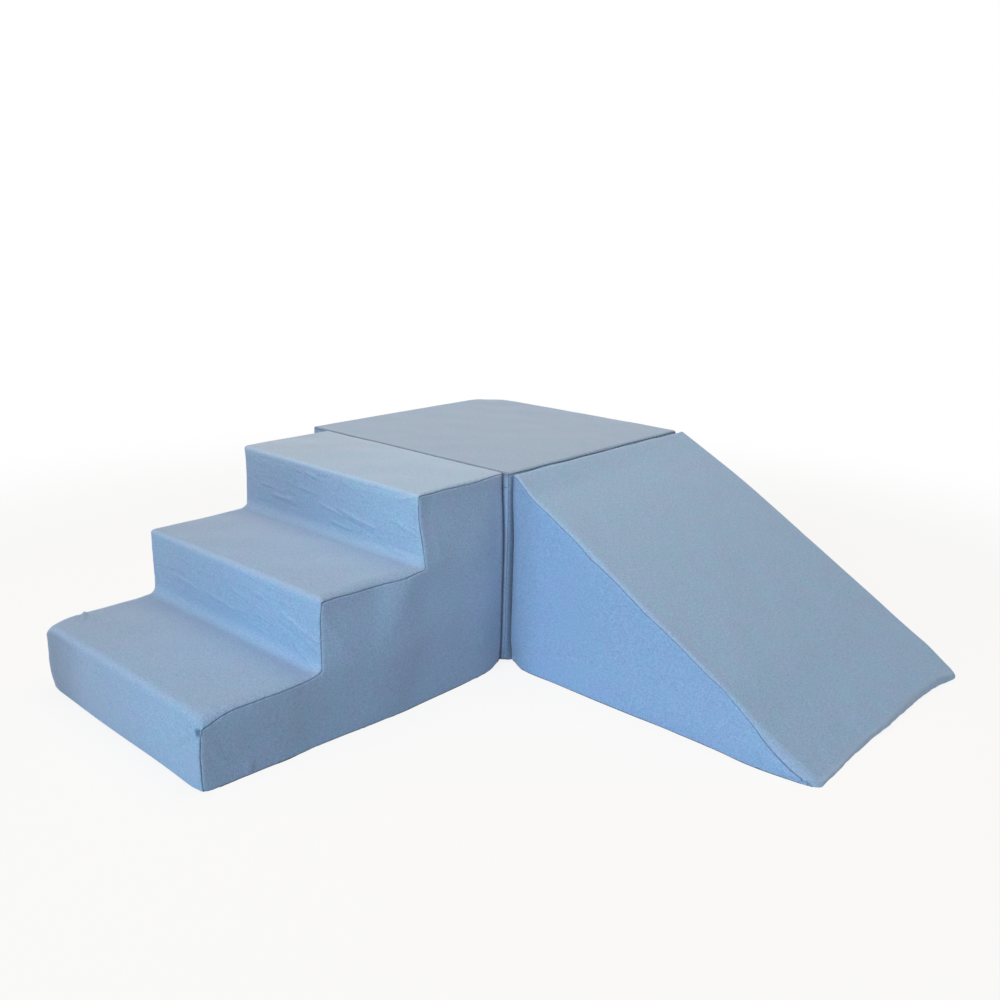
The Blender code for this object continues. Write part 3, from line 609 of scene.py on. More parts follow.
def ramp_corners(length, height):
    fall = height - TOE_HEIGHT
    run = math.hypot(length, fall)
    bow_a = length * SLOPE_BOW_SHARE + SLOPE_BOW * fall / run
    bow_b = height - fall * SLOPE_BOW_SHARE + SLOPE_BOW * length / run
    return [
        corner(0.0, 0.0, FLOOR_RADIUS, FLOOR),
        corner(CROSS_SEAM, 0.0, 0.0, FLOOR),
        corner(length - CROSS_SEAM, 0.0, 0.0, FLOOR, TOE_SEAM),
        corner(length, 0.0, TOE_FOOT_RADIUS, TOE_FOOT),
        corner(length, TOE_HEIGHT, TOE_RADIUS, TOE, SLOPE),
        corner(bow_a, bow_b, BOW_RADIUS, SLOPE, SLOPE),
        corner(0.0, height + RIDGE_RISE, RIDGE_RADIUS, RIDGE, BACK),
        corner(0.0, height - CROSS_SEAM, 0.0, BACK, RAMP_BACK),
    ]


# Block frames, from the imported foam

def block_frame(name, lowest_foam, highest_foam, out, across, make_corners, grid, upright=None):
    """A block's frame. The foam fills its cover, a cover's thickness and gap smaller all round."""
    low, high = (np.array(point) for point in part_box(lowest_foam))
    low, high = low - SKIN, high + SKIN
    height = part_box(highest_foam)[1].z + SKIN
    out = np.array(out, float)
    across = np.array(across, float)
    middle = (low + high) / 2
    length = abs((high - low) @ out)
    width = abs((high - low) @ across)
    origin = middle - out * length / 2
    origin[2] = 0.0
    outline = Outline(make_corners(length, height), grid, upright)
    return Block(name, origin, out, across, length, width, height, outline)


def to_world(block, points):
    """Points given as a, b and c, as places in the scene."""
    up = np.array((0.0, 0.0, 1.0))
    flat = points.reshape(-1, 3)
    return (
        block.origin
        + flat[:, :1] * block.out
        + flat[:, 1:2] * up
        + flat[:, 2:3] * block.across
    )


def packed_span(block, node_name, way):
    """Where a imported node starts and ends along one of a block's ways, from the block's origin."""
    low, high = (np.array(point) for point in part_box(node_name))
    return sorted(((low - block.origin) @ way, (high - block.origin) @ way))


# Crown and folds

def crown(block, points):
    """How a cover bulges over its foam, added to points given as a, b and c."""
    a, b, c = points.T
    tread = block.length / (TREAD_COUNT if block.name == "steps" else 1)
    across = hump(np.clip(c / block.width + 0.5, 0, 1))
    share = np.clip((b - CROWN_START) / (block.height - CROWN_START), 0, 1)
    lifted = np.clip(b / CROWN_START - 1, 0, 1)
    side = np.clip(2 * c / block.width, -1, 1)
    moved = points.copy()
    moved[:, 1] += TOP_CROWN * hump(np.mod(a, tread) / tread) * across * lifted
    if block.name != "platform":
        swell = hump(np.clip(a / block.length, 0, 1)) * np.sin(math.pi * share) ** 2
        moved[:, 2] += SIDE_CROWN * side * swell
    if block.name == "steps":
        moved += steps_sag(block, a, b, side, across)
    if block.name == "ramp":
        moved += ramp_sag(block, a, b, c, side)
    if block.name == "platform":
        moved += platform_sag(block, a, b, c)
    return moved + corner_tucks(block, a, b, c)


def corner_tucks(block, a, b, c):
    """The cover draws in and lifts at some of the lower corners."""
    shift = np.zeros((len(a), 3))
    for tuck in TUCKS[block.name]:
        from_side = block.width / 2 - tuck.side * c
        away = np.hypot(a - tuck.a_share * block.length, from_side)
        amount = bell(away, tuck.reach) * bell(b, tuck.height)
        shift[:, 0] += tuck.in_a * (1 - 2 * tuck.a_share) * amount
        shift[:, 1] += tuck.lift * amount
        shift[:, 2] -= tuck.in_c * tuck.side * amount
    return shift


def steps_sag(block, a, b, side, across):
    """The steps' cover bulges low on its sides behind, and draws in at the risers and in front."""
    tread = block.length / TREAD_COUNT
    rise = block.height / TREAD_COUNT
    riser_wave = hump(np.mod(b, rise) / rise)
    shift = np.zeros((len(a), 3))
    shift[:, 0] += RISER_CROWN * riser_wave * across * a / block.length
    near_riser = np.zeros(len(a))
    top = np.full(len(a), rise)
    for step in range(1, TREAD_COUNT + 1):
        near_riser = np.maximum(near_riser, bell(a - step * tread, RISER_PINCH_REACH))
        blend = STEPS_BULGE_BLEND_SHARE * tread
        top += rise * ease((step * tread + blend - a) / blend) * (step < TREAD_COUNT)
    low = 1 - ease((b - top + STEPS_BULGE_FALL) / STEPS_BULGE_FALL)
    held = 1 - STEPS_BULGE_BACK_SHARE * bell(a, STEPS_BULGE_BACK_REACH)
    behind = ease((STEPS_BULGE_START - a) / STEPS_BULGE_RUN) * held
    bulge = STEPS_BULGE * low * behind
    bulge = bulge - STEPS_FRONT_DRAW * ease((a - STEPS_FRONT_START) / STEPS_FRONT_RUN)
    over_zip = ease((b - ZIP_CLEAR_HEIGHT) / ZIP_CLEAR_RUN)
    shift[:, 2] += bulge * np.maximum(side, 0)
    pinch = np.where(side > 0, RISER_PINCH_NEAR_SHARE, over_zip)
    shift[:, 2] -= RISER_PINCH * riser_wave * near_riser * pinch * side
    edge = bell((1 - np.abs(side)) * block.width / 2, NOSE_DROOP_REACH)
    nose = np.hypot(block.length - a, b - rise)
    shift[:, 1] -= NOSE_DROOP * bell(nose, NOSE_DROOP_REACH) * edge
    return shift


def platform_sag(block, a, b, c):
    """The platform's top corner behind, on the far side, is soft and drawn in."""
    soft = bell(np.hypot(a, c + block.width / 2), SOFT_CORNER_REACH) * ease(b / block.height)
    return np.outer(soft, SOFT_CORNER_SHIFT)


def ramp_sag(block, a, b, c, side):
    """The ramp's cover bulges at the foot of its sides, and its toe reaches further far out."""
    shift = np.zeros((len(a), 3))
    low = bell(b, RAMP_BULGE_FALL)
    swell = np.sqrt(hump(np.clip(a / block.length, 0, 1)))
    shift[:, 2] += RAMP_BULGE * low * swell * np.maximum(side, 0)
    high = hump(np.clip(a / (RAMP_EDGE_SHARE * block.length), 0, 1))
    shift[:, 2] += RAMP_EDGE_BULGE * high * (1 - low) * np.minimum(side, 0)
    skew = ease((a / block.length - TOE_SKEW_START) / (1 - TOE_SKEW_START))
    shift[:, 0] += TOE_SKEW * skew * (1 - side)
    curl = ease(1 - (block.length - a) / TOE_CURL_RUN)
    curl = curl * bell(c + block.width / 2, TOE_CURL_ACROSS)
    shift[:, 1] -= TOE_CURL_DROOP * curl * np.clip(b / TOE_HEIGHT, 0, 1)
    ripple = TOE_RIPPLE(np.column_stack([np.zeros(len(a)), c, b]))
    shift[:, 0] += ripple * ease((a - TOE_RIPPLE_START) / TOE_RIPPLE_RUN)
    slope_height = mix(block.height, TOE_HEIGHT, np.clip(a / block.length, 0, 1))
    droop = NEAR_DROOP * ease(a / NEAR_DROOP_RUN)
    droop = droop + TOE_DROOP * ease((a - TOE_DROOP_START) / TOE_DROOP_RUN)
    shift[:, 1] -= droop * (1 + side) / 2 * np.clip(b / slope_height, 0, 1)
    return shift


def face_ways(points, faces):
    """A way out of each face, as long as twice its area."""
    one_diagonal = points[faces[:, 2]] - points[faces[:, 0]]
    other_diagonal = points[faces[:, -1]] - points[faces[:, 1]]
    return np.cross(one_diagonal, other_diagonal)


def vertex_normals(points, faces):
    normals = np.zeros_like(points)
    ways = face_ways(points, faces)
    for column in range(faces.shape[1]):
        np.add.at(normals, faces[:, column], ways)
    return normals / np.maximum(np.linalg.norm(normals, axis=1), TINY)[:, None]


def faced_out(points, faces, outward):
    """The faces, turned over if they point the wrong way."""
    return faces[:, ::-1] if (face_ways(points, faces) * outward).sum() < 0 else faces


# Creases seen in the photograph: ridges where the height is positive, and dents
FOLDS = {
    "steps": (
        # Third riser
        Fold((0.225, 0.382, -0.056), (0.225, 0.376, -0.022), 0.0027, 0.0029),
        Fold((0.225, 0.379, -0.022), (0.225, 0.384, 0.025), 0.0027, -0.0018),
        Fold((0.225, 0.332, -0.202), (0.225, 0.331, -0.175), 0.0027, 0.0021),
        Fold((0.225, 0.315, -0.169), (0.225, 0.314, -0.102), 0.0028, 0.0032),
        Fold((0.225, 0.305, -0.156), (0.225, 0.303, -0.086), 0.0028, -0.0025),
        Fold((0.225, 0.327, -0.011), (0.225, 0.315, 0.058), 0.0028, 0.0029),
        Fold((0.225, 0.325, 0.049), (0.225, 0.312, 0.142), 0.0033, 0.0036),
        Fold((0.225, 0.311, 0.058), (0.225, 0.298, 0.142), 0.0028, -0.0025),
        Fold((0.225, 0.298, 0.018), (0.225, 0.292, 0.078), 0.0028, 0.0021),
        Fold((0.225, 0.283, 0.183), (0.225, 0.274, 0.263), 0.0033, 0.0054),
        Fold((0.225, 0.270, 0.163), (0.225, 0.267, 0.258), 0.0033, -0.0032),
        Fold((0.225, 0.378, 0.208), (0.225, 0.394, 0.260), 0.0038, 0.0021),
        Fold((0.225, 0.347, -0.074), (0.225, 0.344, -0.017), 0.0033, 0.0018),
        Fold((0.225, 0.338, 0.197), (0.225, 0.323, 0.250), 0.0033, 0.0021),
        Fold((0.225, 0.354, -0.225), (0.225, 0.293, -0.205), 0.0044, -0.0018),
        # Second riser
        Fold((0.450, 0.228, 0.090), (0.450, 0.229, 0.114), 0.0027, 0.0020),
        Fold((0.450, 0.186, 0.084), (0.450, 0.188, 0.108), 0.0027, 0.0020),
        Fold((0.450, 0.214, 0.167), (0.450, 0.188, 0.256), 0.0038, 0.0043),
        Fold((0.450, 0.193, 0.158), (0.450, 0.165, 0.247), 0.0033, -0.0031),
        Fold((0.450, 0.163, 0.201), (0.450, 0.137, 0.254), 0.0038, 0.0048),
        Fold((0.450, 0.147, 0.178), (0.450, 0.130, 0.232), 0.0033, -0.0027),
        Fold((0.450, 0.183, 0.221), (0.450, 0.170, 0.258), 0.0028, 0.0027),
        Fold((0.450, 0.209, -0.232), (0.450, 0.150, -0.217), 0.0044, -0.0020),
        Fold((0.450, 0.192, -0.175), (0.450, 0.184, -0.092), 0.0044, 0.0020),
        Fold((0.450, 0.188, -0.075), (0.450, 0.177, 0.037), 0.0038, 0.0016),
        # First riser
        Fold((0.6735, 0.118, 0.252), (0.6725, 0.104, 0.260), 0.0030, 0.0042),
        Fold((0.670, 0.120, 0.262), (0.672, 0.096, 0.262), 0.0026, -0.0048),
        Fold((0.668, 0.114, 0.252), (0.672, 0.104, 0.248), 0.0030, 0.0030),
        Fold((0.675, 0.111, 0.112), (0.675, 0.069, 0.167), 0.0054, 0.0017),
        Fold((0.675, 0.068, 0.197), (0.675, 0.099, 0.248), 0.0033, 0.0031),
        Fold((0.675, 0.045, 0.182), (0.675, 0.087, 0.244), 0.0033, -0.0020),
        Fold((0.675, 0.113, -0.052), (0.675, 0.104, 0.041), 0.0054, -0.0014),
        # Near side, and the treads
        Fold((0.596, 0.027, 0.266), (0.589, 0.006, 0.266), 0.0033, 0.0035),
        Fold((0.067, 0.092, 0.266), (0.060, 0.068, 0.266), 0.0033, 0.0026),
        Fold((0.432, 0.222, 0.266), (0.402, 0.161, 0.266), 0.0065, 0.0014),
        Fold((0.194, 0.348, 0.266), (0.176, 0.267, 0.266), 0.0065, 0.0014),
        Fold((0.654, 0.084, 0.266), (0.632, 0.040, 0.266), 0.0054, 0.0017),
        Fold((0.596, 0.132, -0.262), (0.624, 0.133, -0.214), 0.0024, 0.0048),
        Fold((0.604, 0.132, -0.262), (0.632, 0.133, -0.214), 0.0024, -0.0036),
        Fold((0.430, 0.133, 0.131), (0.440, 0.133, 0.250), 0.0044, 0.0023),
        Fold((0.448, 0.133, -0.245), (0.460, 0.133, -0.081), 0.0044, 0.0017),
    ),
    "ramp": (
        Fold((0.560, 0.030, 0.299), (0.566, 0.004, 0.299), 0.0049, -0.0058),
        Fold((0.610, 0.026, 0.299), (0.622, 0.004, 0.299), 0.0044, 0.0029),
        Fold((0.644, 0.034, 0.225), (0.655, 0.020, 0.262), 0.0033, 0.0037),
        Fold((0.625, 0.050, 0.215), (0.640, 0.036, 0.250), 0.0033, -0.0020),
    ),
}


def fold_rise(block, points, seam):
    """How far the listed folds lift points given as a, b and c."""
    rise = np.zeros(len(points))
    for fold in FOLDS.get(block.name, ()):
        start, end = np.array(fold.start), np.array(fold.end)
        way = end - start
        share = np.clip(((points - start) @ way) / (way @ way), 0, 1)
        away = np.linalg.norm(points - start - share[:, None] * way, axis=1)
        taper = np.sin(math.pi * mix(*FOLD_TAPER_SHARES, share))
        rise += fold.height * taper * bell(away, fold.width)
    return rise * ease(seam / FOLD_FADE)


def roughen(block, world, faces, seam, points):
    """Move a ring panel's points along their normals: slow swells, and the listed folds."""
    fade = ease(seam / SWELL_FADE) * ease(world[:, 2] / SWELL_FLOOR_FADE)
    rise = FABRIC_SWELL(world) * SWELL_SHARES[block.name] * fade + fold_rise(block, points, seam)
    return world + vertex_normals(world, faces) * rise[:, None]


def roughen_side(block, world, sign, seam, notch, points):
    """Move a side panel's points straight out, by swells that keep clear of the zip, and folds."""
    rise = FABRIC_SWELL(world) * ease(seam / SWELL_FADE) + fold_rise(block, points, seam)
    if notch:
        a, b = points[:, 0], points[:, 1]
        past_a = np.maximum(0, np.maximum(notch.low_a - a, a - notch.high_a))
        past_b = np.maximum(0, np.maximum(notch.low_b - b, b - notch.high_b))
        rise *= ease(np.hypot(past_a, past_b) / NOTCH_FADE)
    return world + sign * block.across * rise[:, None]


# Cover panels

def wandered(block, sign):
    """The sections of a block's stations on one side, with the seam wandering a little."""
    outline = block.outline
    sections = outline.sections.copy()
    across = np.full(outline.count, sign * block.width / 2)
    world = to_world(block, np.column_stack([outline.points, across]))
    above = ease((outline.points[:, 1] - WANDER_FLOOR) / WANDER_FLOOR_RUN)
    if block.name == "ramp" and sign < 0:
        sections[:, (HOLD, ROLL, SIDE_REACH)] *= RAMP_FAR_SHARE
        sections[:, (DROP, SET_BACK)] *= TOE_FAR_SHARE
    strip = sections[:, STRIP] + SEAM_WANDER(world) * above
    hold = sections[:, HOLD] + FLOOR_WANDER(world) * (1 - above)
    sections[:, STRIP] = np.maximum(LEAST_SEAM_DEPTH, strip)
    sections[:, HOLD] = np.maximum(0.0, hold)
    return sections


def cross_groove(outline):
    """How deep each station dips where it lies beside a seam across the ring."""
    dip = np.zeros(outline.count)
    for index in outline.seams():
        dip = np.maximum(dip, CROSS_GROOVE * shoulder(outline.from_mark(index) / CROSS_SHOULDER))
    return dip


def add_object(name, data):
    item = bpy.data.objects.new(name, data)
    bpy.context.scene.collection.objects.link(item)
    return item


def mesh_object(name, points, faces, material, attributes=None):
    """A smooth mesh object. An attribute is one number or one colour for each point."""
    mesh = bpy.data.meshes.new(name)
    mesh.from_pydata(points.tolist(), [], faces)
    mesh.update()
    mesh.shade_smooth()
    for key, values in (attributes or {}).items():
        is_colour = values.ndim == 2
        layer = mesh.attributes.new(key, "FLOAT_COLOR" if is_colour else "FLOAT", "POINT")
        layer.data.foreach_set("color" if is_colour else "value", values.astype(np.float32).ravel())
    mesh.materials.append(material)
    return add_object(name, mesh)


def thicken(item):
    """A cover's wall, grown inwards from its face."""
    wall = item.modifiers.new("wall", "SOLIDIFY")
    wall.thickness = COVER_THICKNESS
    wall.offset = -1.0
    return item


def panel_stations(outline, first, last):
    """The outline's stations from one seam across the ring to the next."""
    begin = outline.marks[first][1]
    end = outline.marks[last][0]
    if end <= begin:
        end += outline.count
    return np.arange(begin, end + 1) % outline.count


def edge_strips(outline, sections, half, sign):
    """The strips of a ring's edge on one side, from the seam to where the edge comes level."""
    strip, hold, groove, roll, _, drop, _ = sections.T
    strips = []
    run = np.zeros(outline.count)
    last = None
    for angle in np.radians(ROLL_ANGLES):
        across = half - roll + (roll - hold) * math.cos(angle)
        fallen = 1 - math.sin(angle)
        depth = (strip + drop) * fallen
        if last is not None:
            run = run + np.hypot(across - last[0], depth - last[1])
        last = (across, depth)
        across = across - groove * shoulder(run / RING_SHOULDER)
        shift = seam_shift(sections, fallen)
        strips.append(Strip(across * sign, strip * fallen, run, shift))
    return strips


def ring_strips(block, grid):
    """The strips of a ring from the near seam to the far one, with its level part between."""
    outline = block.outline
    near = wandered(block, 1)
    near_edge = edge_strips(outline, near, block.width / 2, 1)
    far_edge = edge_strips(outline, wandered(block, -1), block.width / 2, -1)
    start, end = near_edge[-1], far_edge[-1]
    width = np.abs(start.across - end.across)
    cells = round((block.width - 2 * near[:, ROLL].mean()) / grid)
    level = []
    for cell in range(1, cells):
        share = cell / cells
        across = mix(start.across, end.across, share)
        run = np.minimum(start.run + width * share, end.run + width * (1 - share))
        level.append(Strip(across, np.zeros(outline.count), run, np.zeros((outline.count, 2))))
    return near_edge + level + far_edge[::-1]


def grid_faces(rows, columns):
    index = np.arange(rows * columns).reshape(rows, columns)
    corners = (index[:-1, :-1], index[1:, :-1], index[1:, 1:], index[:-1, 1:])
    return np.stack(corners, axis=-1).reshape(-1, 4)


def ring_panel(block, name, first, last, grid, material):
    """One panel of the cover's ring, from one seam across it to the next."""
    outline = block.outline
    stations = panel_stations(outline, first, last)
    dip = cross_groove(outline)
    lines, runs = [], []
    for strip in ring_strips(block, grid):
        flat = outline.at(strip.depth + dip) + strip.shift
        lines.append(np.column_stack([flat, strip.across])[stations])
        runs.append(strip.run[stations])
    points = np.stack(lines, axis=1)
    edge = outline.points[stations]
    points[0, :, :2] += unit(edge[1] - edge[0]) * SEAM_GAP / 2
    points[-1, :, :2] += unit(edge[-2] - edge[-1]) * SEAM_GAP / 2
    rows, columns = points.shape[:2]
    points = points.reshape(-1, 3)
    cross_seam = np.minimum(outline.from_mark(first), outline.from_mark(last))[stations]
    seam = np.minimum(np.stack(runs, axis=1), cross_seam[:, None]).reshape(-1)
    world = to_world(block, crown(block, points))
    normals = np.repeat(-outline.normals[stations], columns, axis=0)
    outward = to_world(block, np.column_stack([normals, np.zeros(len(normals))])) - block.origin
    faces = grid_faces(rows, columns)
    faces = faced_out(world, faces, outward[faces[:, 0]])
    world = roughen(block, world, faces, seam, points)
    world[:, 2] = np.maximum(world[:, 2], BASE_LIFT)
    attributes = {
        "seam": seam, "along": np.repeat(outline.along[stations], columns),
        "worn": wear_and_highlight_edges(block, points), "tint": painted_light_tint(block, points, 0),
        "creased": creased_faces(block, points),
    }
    return thicken(mesh_object(name, world, faces.tolist(), material, attributes))


def wear_and_highlight_edges(block, points):
    """1 on the noses and outer edges of a block, falling to 0 a little way off, and less in its inner
    corners: where the cloth is lighter from wear and from a painted highlight.
    """
    worn = np.zeros(len(points))
    for here, convex in zip(block.outline.corners, block.outline.convex):
        away = np.hypot(points[:, 0] - here.a, points[:, 1] - here.b)
        if not convex:
            worn = np.maximum(worn, INNER_WEAR_AND_HIGHLIGHT * bell(away, INNER_WEAR_AND_HIGHLIGHT_REACH))
        elif 0 < here.radius <= BOWED_RADIUS and here.b >= WEAR_AND_HIGHLIGHT_FLOOR:
            worn = np.maximum(worn, bell(away, WEAR_AND_HIGHLIGHT_REACH))
    return worn


def painted_light_tint(block, points, side):
    """What each point's colour is multiplied by: the painted light and shade of its block's table."""
    tint = np.ones((len(points), 4))
    for row in PAINTED_LIGHT_TINTS[block.name]:
        if side not in row.sides:
            continue
        weight = np.ones(len(points))
        for place, (low, high), fade in zip(points.T, row.box, row.fade):
            weight *= ease((place - low) / fade + 1) * ease((high - place) / fade + 1)
        tint[:, :3] *= 1 + weight[:, None] * (np.array(row.colour) - 1)
    return tint


def creased_faces(block, points):
    """How much each point's cloth is creased: most on the steps' risers, and little elsewhere."""
    creased = np.full(len(points), CREASED_ELSEWHERE)
    if block.name == "steps":
        tread = block.length / TREAD_COUNT
        rise = block.height / TREAD_COUNT
        for step, amount in enumerate(RISER_CREASES):
            plane = bell(points[:, 0] - (TREAD_COUNT - step) * tread, CREASE_RISER_REACH)
            level = bell(points[:, 1] - (step + 0.5) * rise, CREASE_LEVEL_SHARE * rise)
            creased = np.maximum(creased, amount * plane * level)
    return creased


def nearest_on_loop(points, loop, values):
    """For each point, its distance from a closed loop and the loop's values beside it."""
    way = np.roll(loop, -1, axis=0) - loop
    size = np.maximum((way * way).sum(axis=1), TINY)
    after = np.roll(values, -1, axis=0)
    nearest = np.zeros(len(points))
    found = np.zeros((len(points), values.shape[1]))
    for chunk in np.array_split(np.arange(len(points)), max(1, len(points) // POINTS_AT_ONCE)):
        offset = points[chunk][:, None, :] - loop[None]
        share = np.clip((offset * way[None]).sum(axis=2) / size, 0, 1)
        gap = offset - way[None] * share[..., None]
        away = np.sqrt((gap * gap).sum(axis=2))
        pick = away.argmin(axis=1)
        row = np.arange(len(chunk))
        nearest[chunk] = away[row, pick]
        part = share[row, pick][:, None]
        found[chunk] = values[pick] * (1 - part) + after[pick] * part
    return nearest, found


def inside_loop(points, loop):
    """Whether each point lies inside a closed loop."""
    x, y = points[:, 0][:, None], points[:, 1][:, None]
    x1, y1 = loop[:, 0][None], loop[:, 1][None]
    x0, y0 = np.roll(loop[:, 0], 1)[None], np.roll(loop[:, 1], 1)[None]
    crosses = (y1 > y) != (y0 > y)
    at = x0 + (y - y0) / np.where(crosses, y1 - y0, 1.0) * (x1 - x0)
    return (crosses & (x < at)).sum(axis=1) % 2 == 1


def in_notch(places, notch, past_a=0.0, past_b=0.0):
    """Whether each place lies in a notch, or within the given distances of it."""
    a, b = places.T
    return (
        (a > notch.low_a - past_a) & (a < notch.high_a + past_a)
        & (b > notch.low_b - past_b) & (b < notch.high_b + past_b)
    )


def notch_rim(notch, grid):
    """The edge of a notch, with points along its two long sides."""
    count = round((notch.high_a - notch.low_a) / grid)
    shares = [cell / count for cell in range(count + 1)]
    bottom = [(mix(notch.low_a, notch.high_a, share), notch.low_b) for share in shares]
    top = [(mix(notch.high_a, notch.low_a, share), notch.high_b) for share in shares]
    return np.array(bottom + top)


def panel_field(block, loop, normals, values, grid):
    """Points inside a side panel: rings that follow its seam, and staggered rows within them."""
    fields = []
    for ring in EDGE_RINGS:
        inner = loop + normals * ring
        away, _ = nearest_on_loop(inner, loop, values)
        fields.append(inner[(away > RING_CLEAR_SHARE * ring) & inside_loop(inner, loop)])
    columns = np.arange(grid / 2, block.length, grid)
    rows = np.arange(grid / 2, block.height, grid)
    field = np.stack(np.meshgrid(columns, rows), axis=-1).reshape(-1, 2)
    field[:, 0] += np.where((np.round(field[:, 1] / grid)) % 2 == 0, grid / 2, 0)
    field = field[inside_loop(field, loop)]
    away, _ = nearest_on_loop(field, loop, values)
    fields.append(field[away > EDGE_RINGS[-1] + grid * FIELD_CLEAR_SHARE])
    return np.concatenate(fields)


def filled_loop(loop, field, notch, grid):
    """Places and triangles that fill a loop, through the points of a field, round a notch."""
    rim = np.zeros((0, 2))
    if notch:
        field = field[~in_notch(field, notch, NOTCH_CLEAR_A, NOTCH_CLEAR_B)]
        rim = notch_rim(notch, grid)
    first = len(loop) + len(field)
    edges = [(first + i, first + (i + 1) % len(rim)) for i in range(len(rim))]
    vectors = [Vector(place) for place in np.concatenate([loop, field, rim]).tolist()]
    border = [list(range(len(loop)))]
    found, _, triangles, _, _, _ = delaunay_2d_cdt(vectors, edges, border, 1, MERGE_DISTANCE)
    places = np.array([(place.x, place.y) for place in found])
    faces = np.array(triangles)
    if notch:
        faces = faces[~in_notch(places[faces].mean(axis=1), notch)]
    return places, faces


def side_panel(block, name, sign, grid, material, notch=None):
    """A side panel, from its seam inwards. A notch is left open for the zip."""
    outline = block.outline
    sections = wandered(block, sign)
    loop = outline.at(sections[:, STRIP]) + seam_shift(sections, 1)
    keep = [0]
    for index in range(1, outline.count):
        if np.linalg.norm(loop[index] - loop[keep[-1]]) > LOOP_STEP_LEAST:
            keep.append(index)
    loop = loop[keep]
    inset = (sections[:, HOLD] + sections[:, GROOVE])[keep]
    values = np.column_stack([inset, sections[keep, SIDE_REACH], outline.along[keep]])
    field = panel_field(block, loop, outline.normals[keep], values, grid)
    places, faces = filled_loop(loop, field, notch, grid)
    seam, beside = nearest_on_loop(places, loop, values)
    inset, reach, along = beside.T
    across = sign * (block.width / 2 - inset * shoulder(seam / reach))
    points = np.column_stack([places, across])
    world = to_world(block, crown(block, points))
    faces = faced_out(world, faces, sign * block.across)
    world = roughen_side(block, world, sign, seam, notch, points)
    world[:, 2] = np.maximum(world[:, 2], SIDE_LIFT)
    attributes = {
        "seam": seam, "along": along, "worn": np.zeros(len(world)),
        "tint": painted_light_tint(block, points, sign),
        "creased": np.full(len(world), CREASED_ELSEWHERE),
    }
    return thicken(mesh_object(name, world, faces.tolist(), material, attributes))


# Foam

def foam_body(block, name, outline, half, material):
    """A foam slab: an outline run across the block, with its side edges rounded."""
    rows = []
    for side in (1, -1):
        for angle in FOAM_ANGLES[::side]:
            turn = math.radians(angle)
            across = side * (half - FOAM_ROUND + FOAM_ROUND * math.cos(turn))
            flat = outline.at(np.full(outline.count, FOAM_ROUND * (1 - math.sin(turn))))
            rows.append(np.column_stack([flat, np.full(outline.count, across)]))
    index = np.arange(len(rows) * outline.count).reshape(len(rows), outline.count)
    after = np.roll(index, -1, axis=1)
    walls = np.stack([index[:-1], after[:-1], after[1:], index[1:]], axis=-1).reshape(-1, 4)
    faces = walls.tolist() + [index[0].tolist(), index[-1][::-1].tolist()]
    world = to_world(block, crown(block, np.concatenate(rows)))
    item = mesh_object(name, world, faces, material)
    body = bmesh.new()
    body.from_mesh(item.data)
    bmesh.ops.recalc_face_normals(body, faces=body.faces)
    body.to_mesh(item.data)
    body.free()
    return item


def slab_outline(block, node_name, is_lowest):
    """A flat slab's outline, from its packed box and drawn in from the cover."""
    low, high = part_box(node_name)
    start, end = packed_span(block, node_name, block.out)
    low_a, high_a = start + FOAM_EASE, end - FOAM_EASE
    low_b = low.z + FOAM_EASE if is_lowest else low.z - FOAM_EASE
    high_b = high.z - FOAM_EASE
    places = ((low_a, low_b), (high_a, low_b), (high_a, high_b), (low_a, high_b))
    return Outline([corner(a, b, FOAM_CORNER, BACK) for a, b in places], FOAM_GRID)


def wedge_outline(block):
    """The ramp's foam outline: its cover's outline, drawn in."""
    main = [here for here in block.outline.corners if here.radius > 0]
    whole = Outline(main, FOAM_GRID)
    corners = []
    for index, here in enumerate(main):
        a, b = whole.places[index] + whole.mitres[index] * (SKIN + FOAM_EASE)
        a -= TOE_EASE * (here.a >= block.length)
        radius = here.radius if here.radius > BOWED_RADIUS else FOAM_CORNER
        corners.append(corner(a, b, radius, BACK))
    return Outline(corners, FOAM_GRID)


# Shader nodes

def new_material(name):
    material = bpy.data.materials.new(name)
    material.use_nodes = True
    return material, material.node_tree, material.node_tree.nodes["Principled BSDF"]


def set_inputs(tree, item, inputs):
    """Give a node's inputs their values, or link them to other nodes' outputs."""
    for key, value in inputs.items():
        socket = item.inputs[key]
        if isinstance(value, bpy.types.NodeSocket):
            tree.links.new(value, socket)
        else:
            socket.default_value = value


def node(tree, kind, inputs=None, **settings):
    """A node with its settings and its inputs, which are values or other nodes' outputs."""
    made = tree.nodes.new(kind)
    for key, value in settings.items():
        setattr(made, key, value)
    set_inputs(tree, made, inputs or {})
    return made


def math_node(tree, operation, first, second=0.0, third=0.0):
    return node(
        tree, "ShaderNodeMath", {0: first, 1: second, 2: third}, operation=operation
    ).outputs[0]


def blend_colours(tree, share, first, second, kind="MIX"):
    made = node(
        tree, "ShaderNodeMix", {0: share, 6: first, 7: second}, data_type="RGBA", blend_type=kind
    )
    return made.outputs[2]


def noise(tree, place, settings):
    return node(tree, "ShaderNodeTexNoise", {"Vector": place, **settings}).outputs["Fac"]


def carried(tree, value, start, end, low=0.0, high=1.0, shape="LINEAR"):
    """A value carried from one span over to another, and held level past its ends."""
    return node(tree, "ShaderNodeMapRange", {
        "Value": value, "From Min": start, "From Max": end, "To Min": low, "To Max": high,
    }, interpolation_type=shape).outputs[0]


def grey(tree, value):
    return node(tree, "ShaderNodeCombineColor", {0: value, 1: value, 2: value}).outputs[0]


def bump(tree, height, relief, under=None):
    """Relief from a height, over another relief where one is given."""
    inputs = {"Height": height, **relief}
    if under is not None:
        inputs["Normal"] = under
    return node(tree, "ShaderNodeBump", inputs).outputs[0]


def object_place(tree):
    return node(tree, "ShaderNodeTexCoord").outputs["Object"]


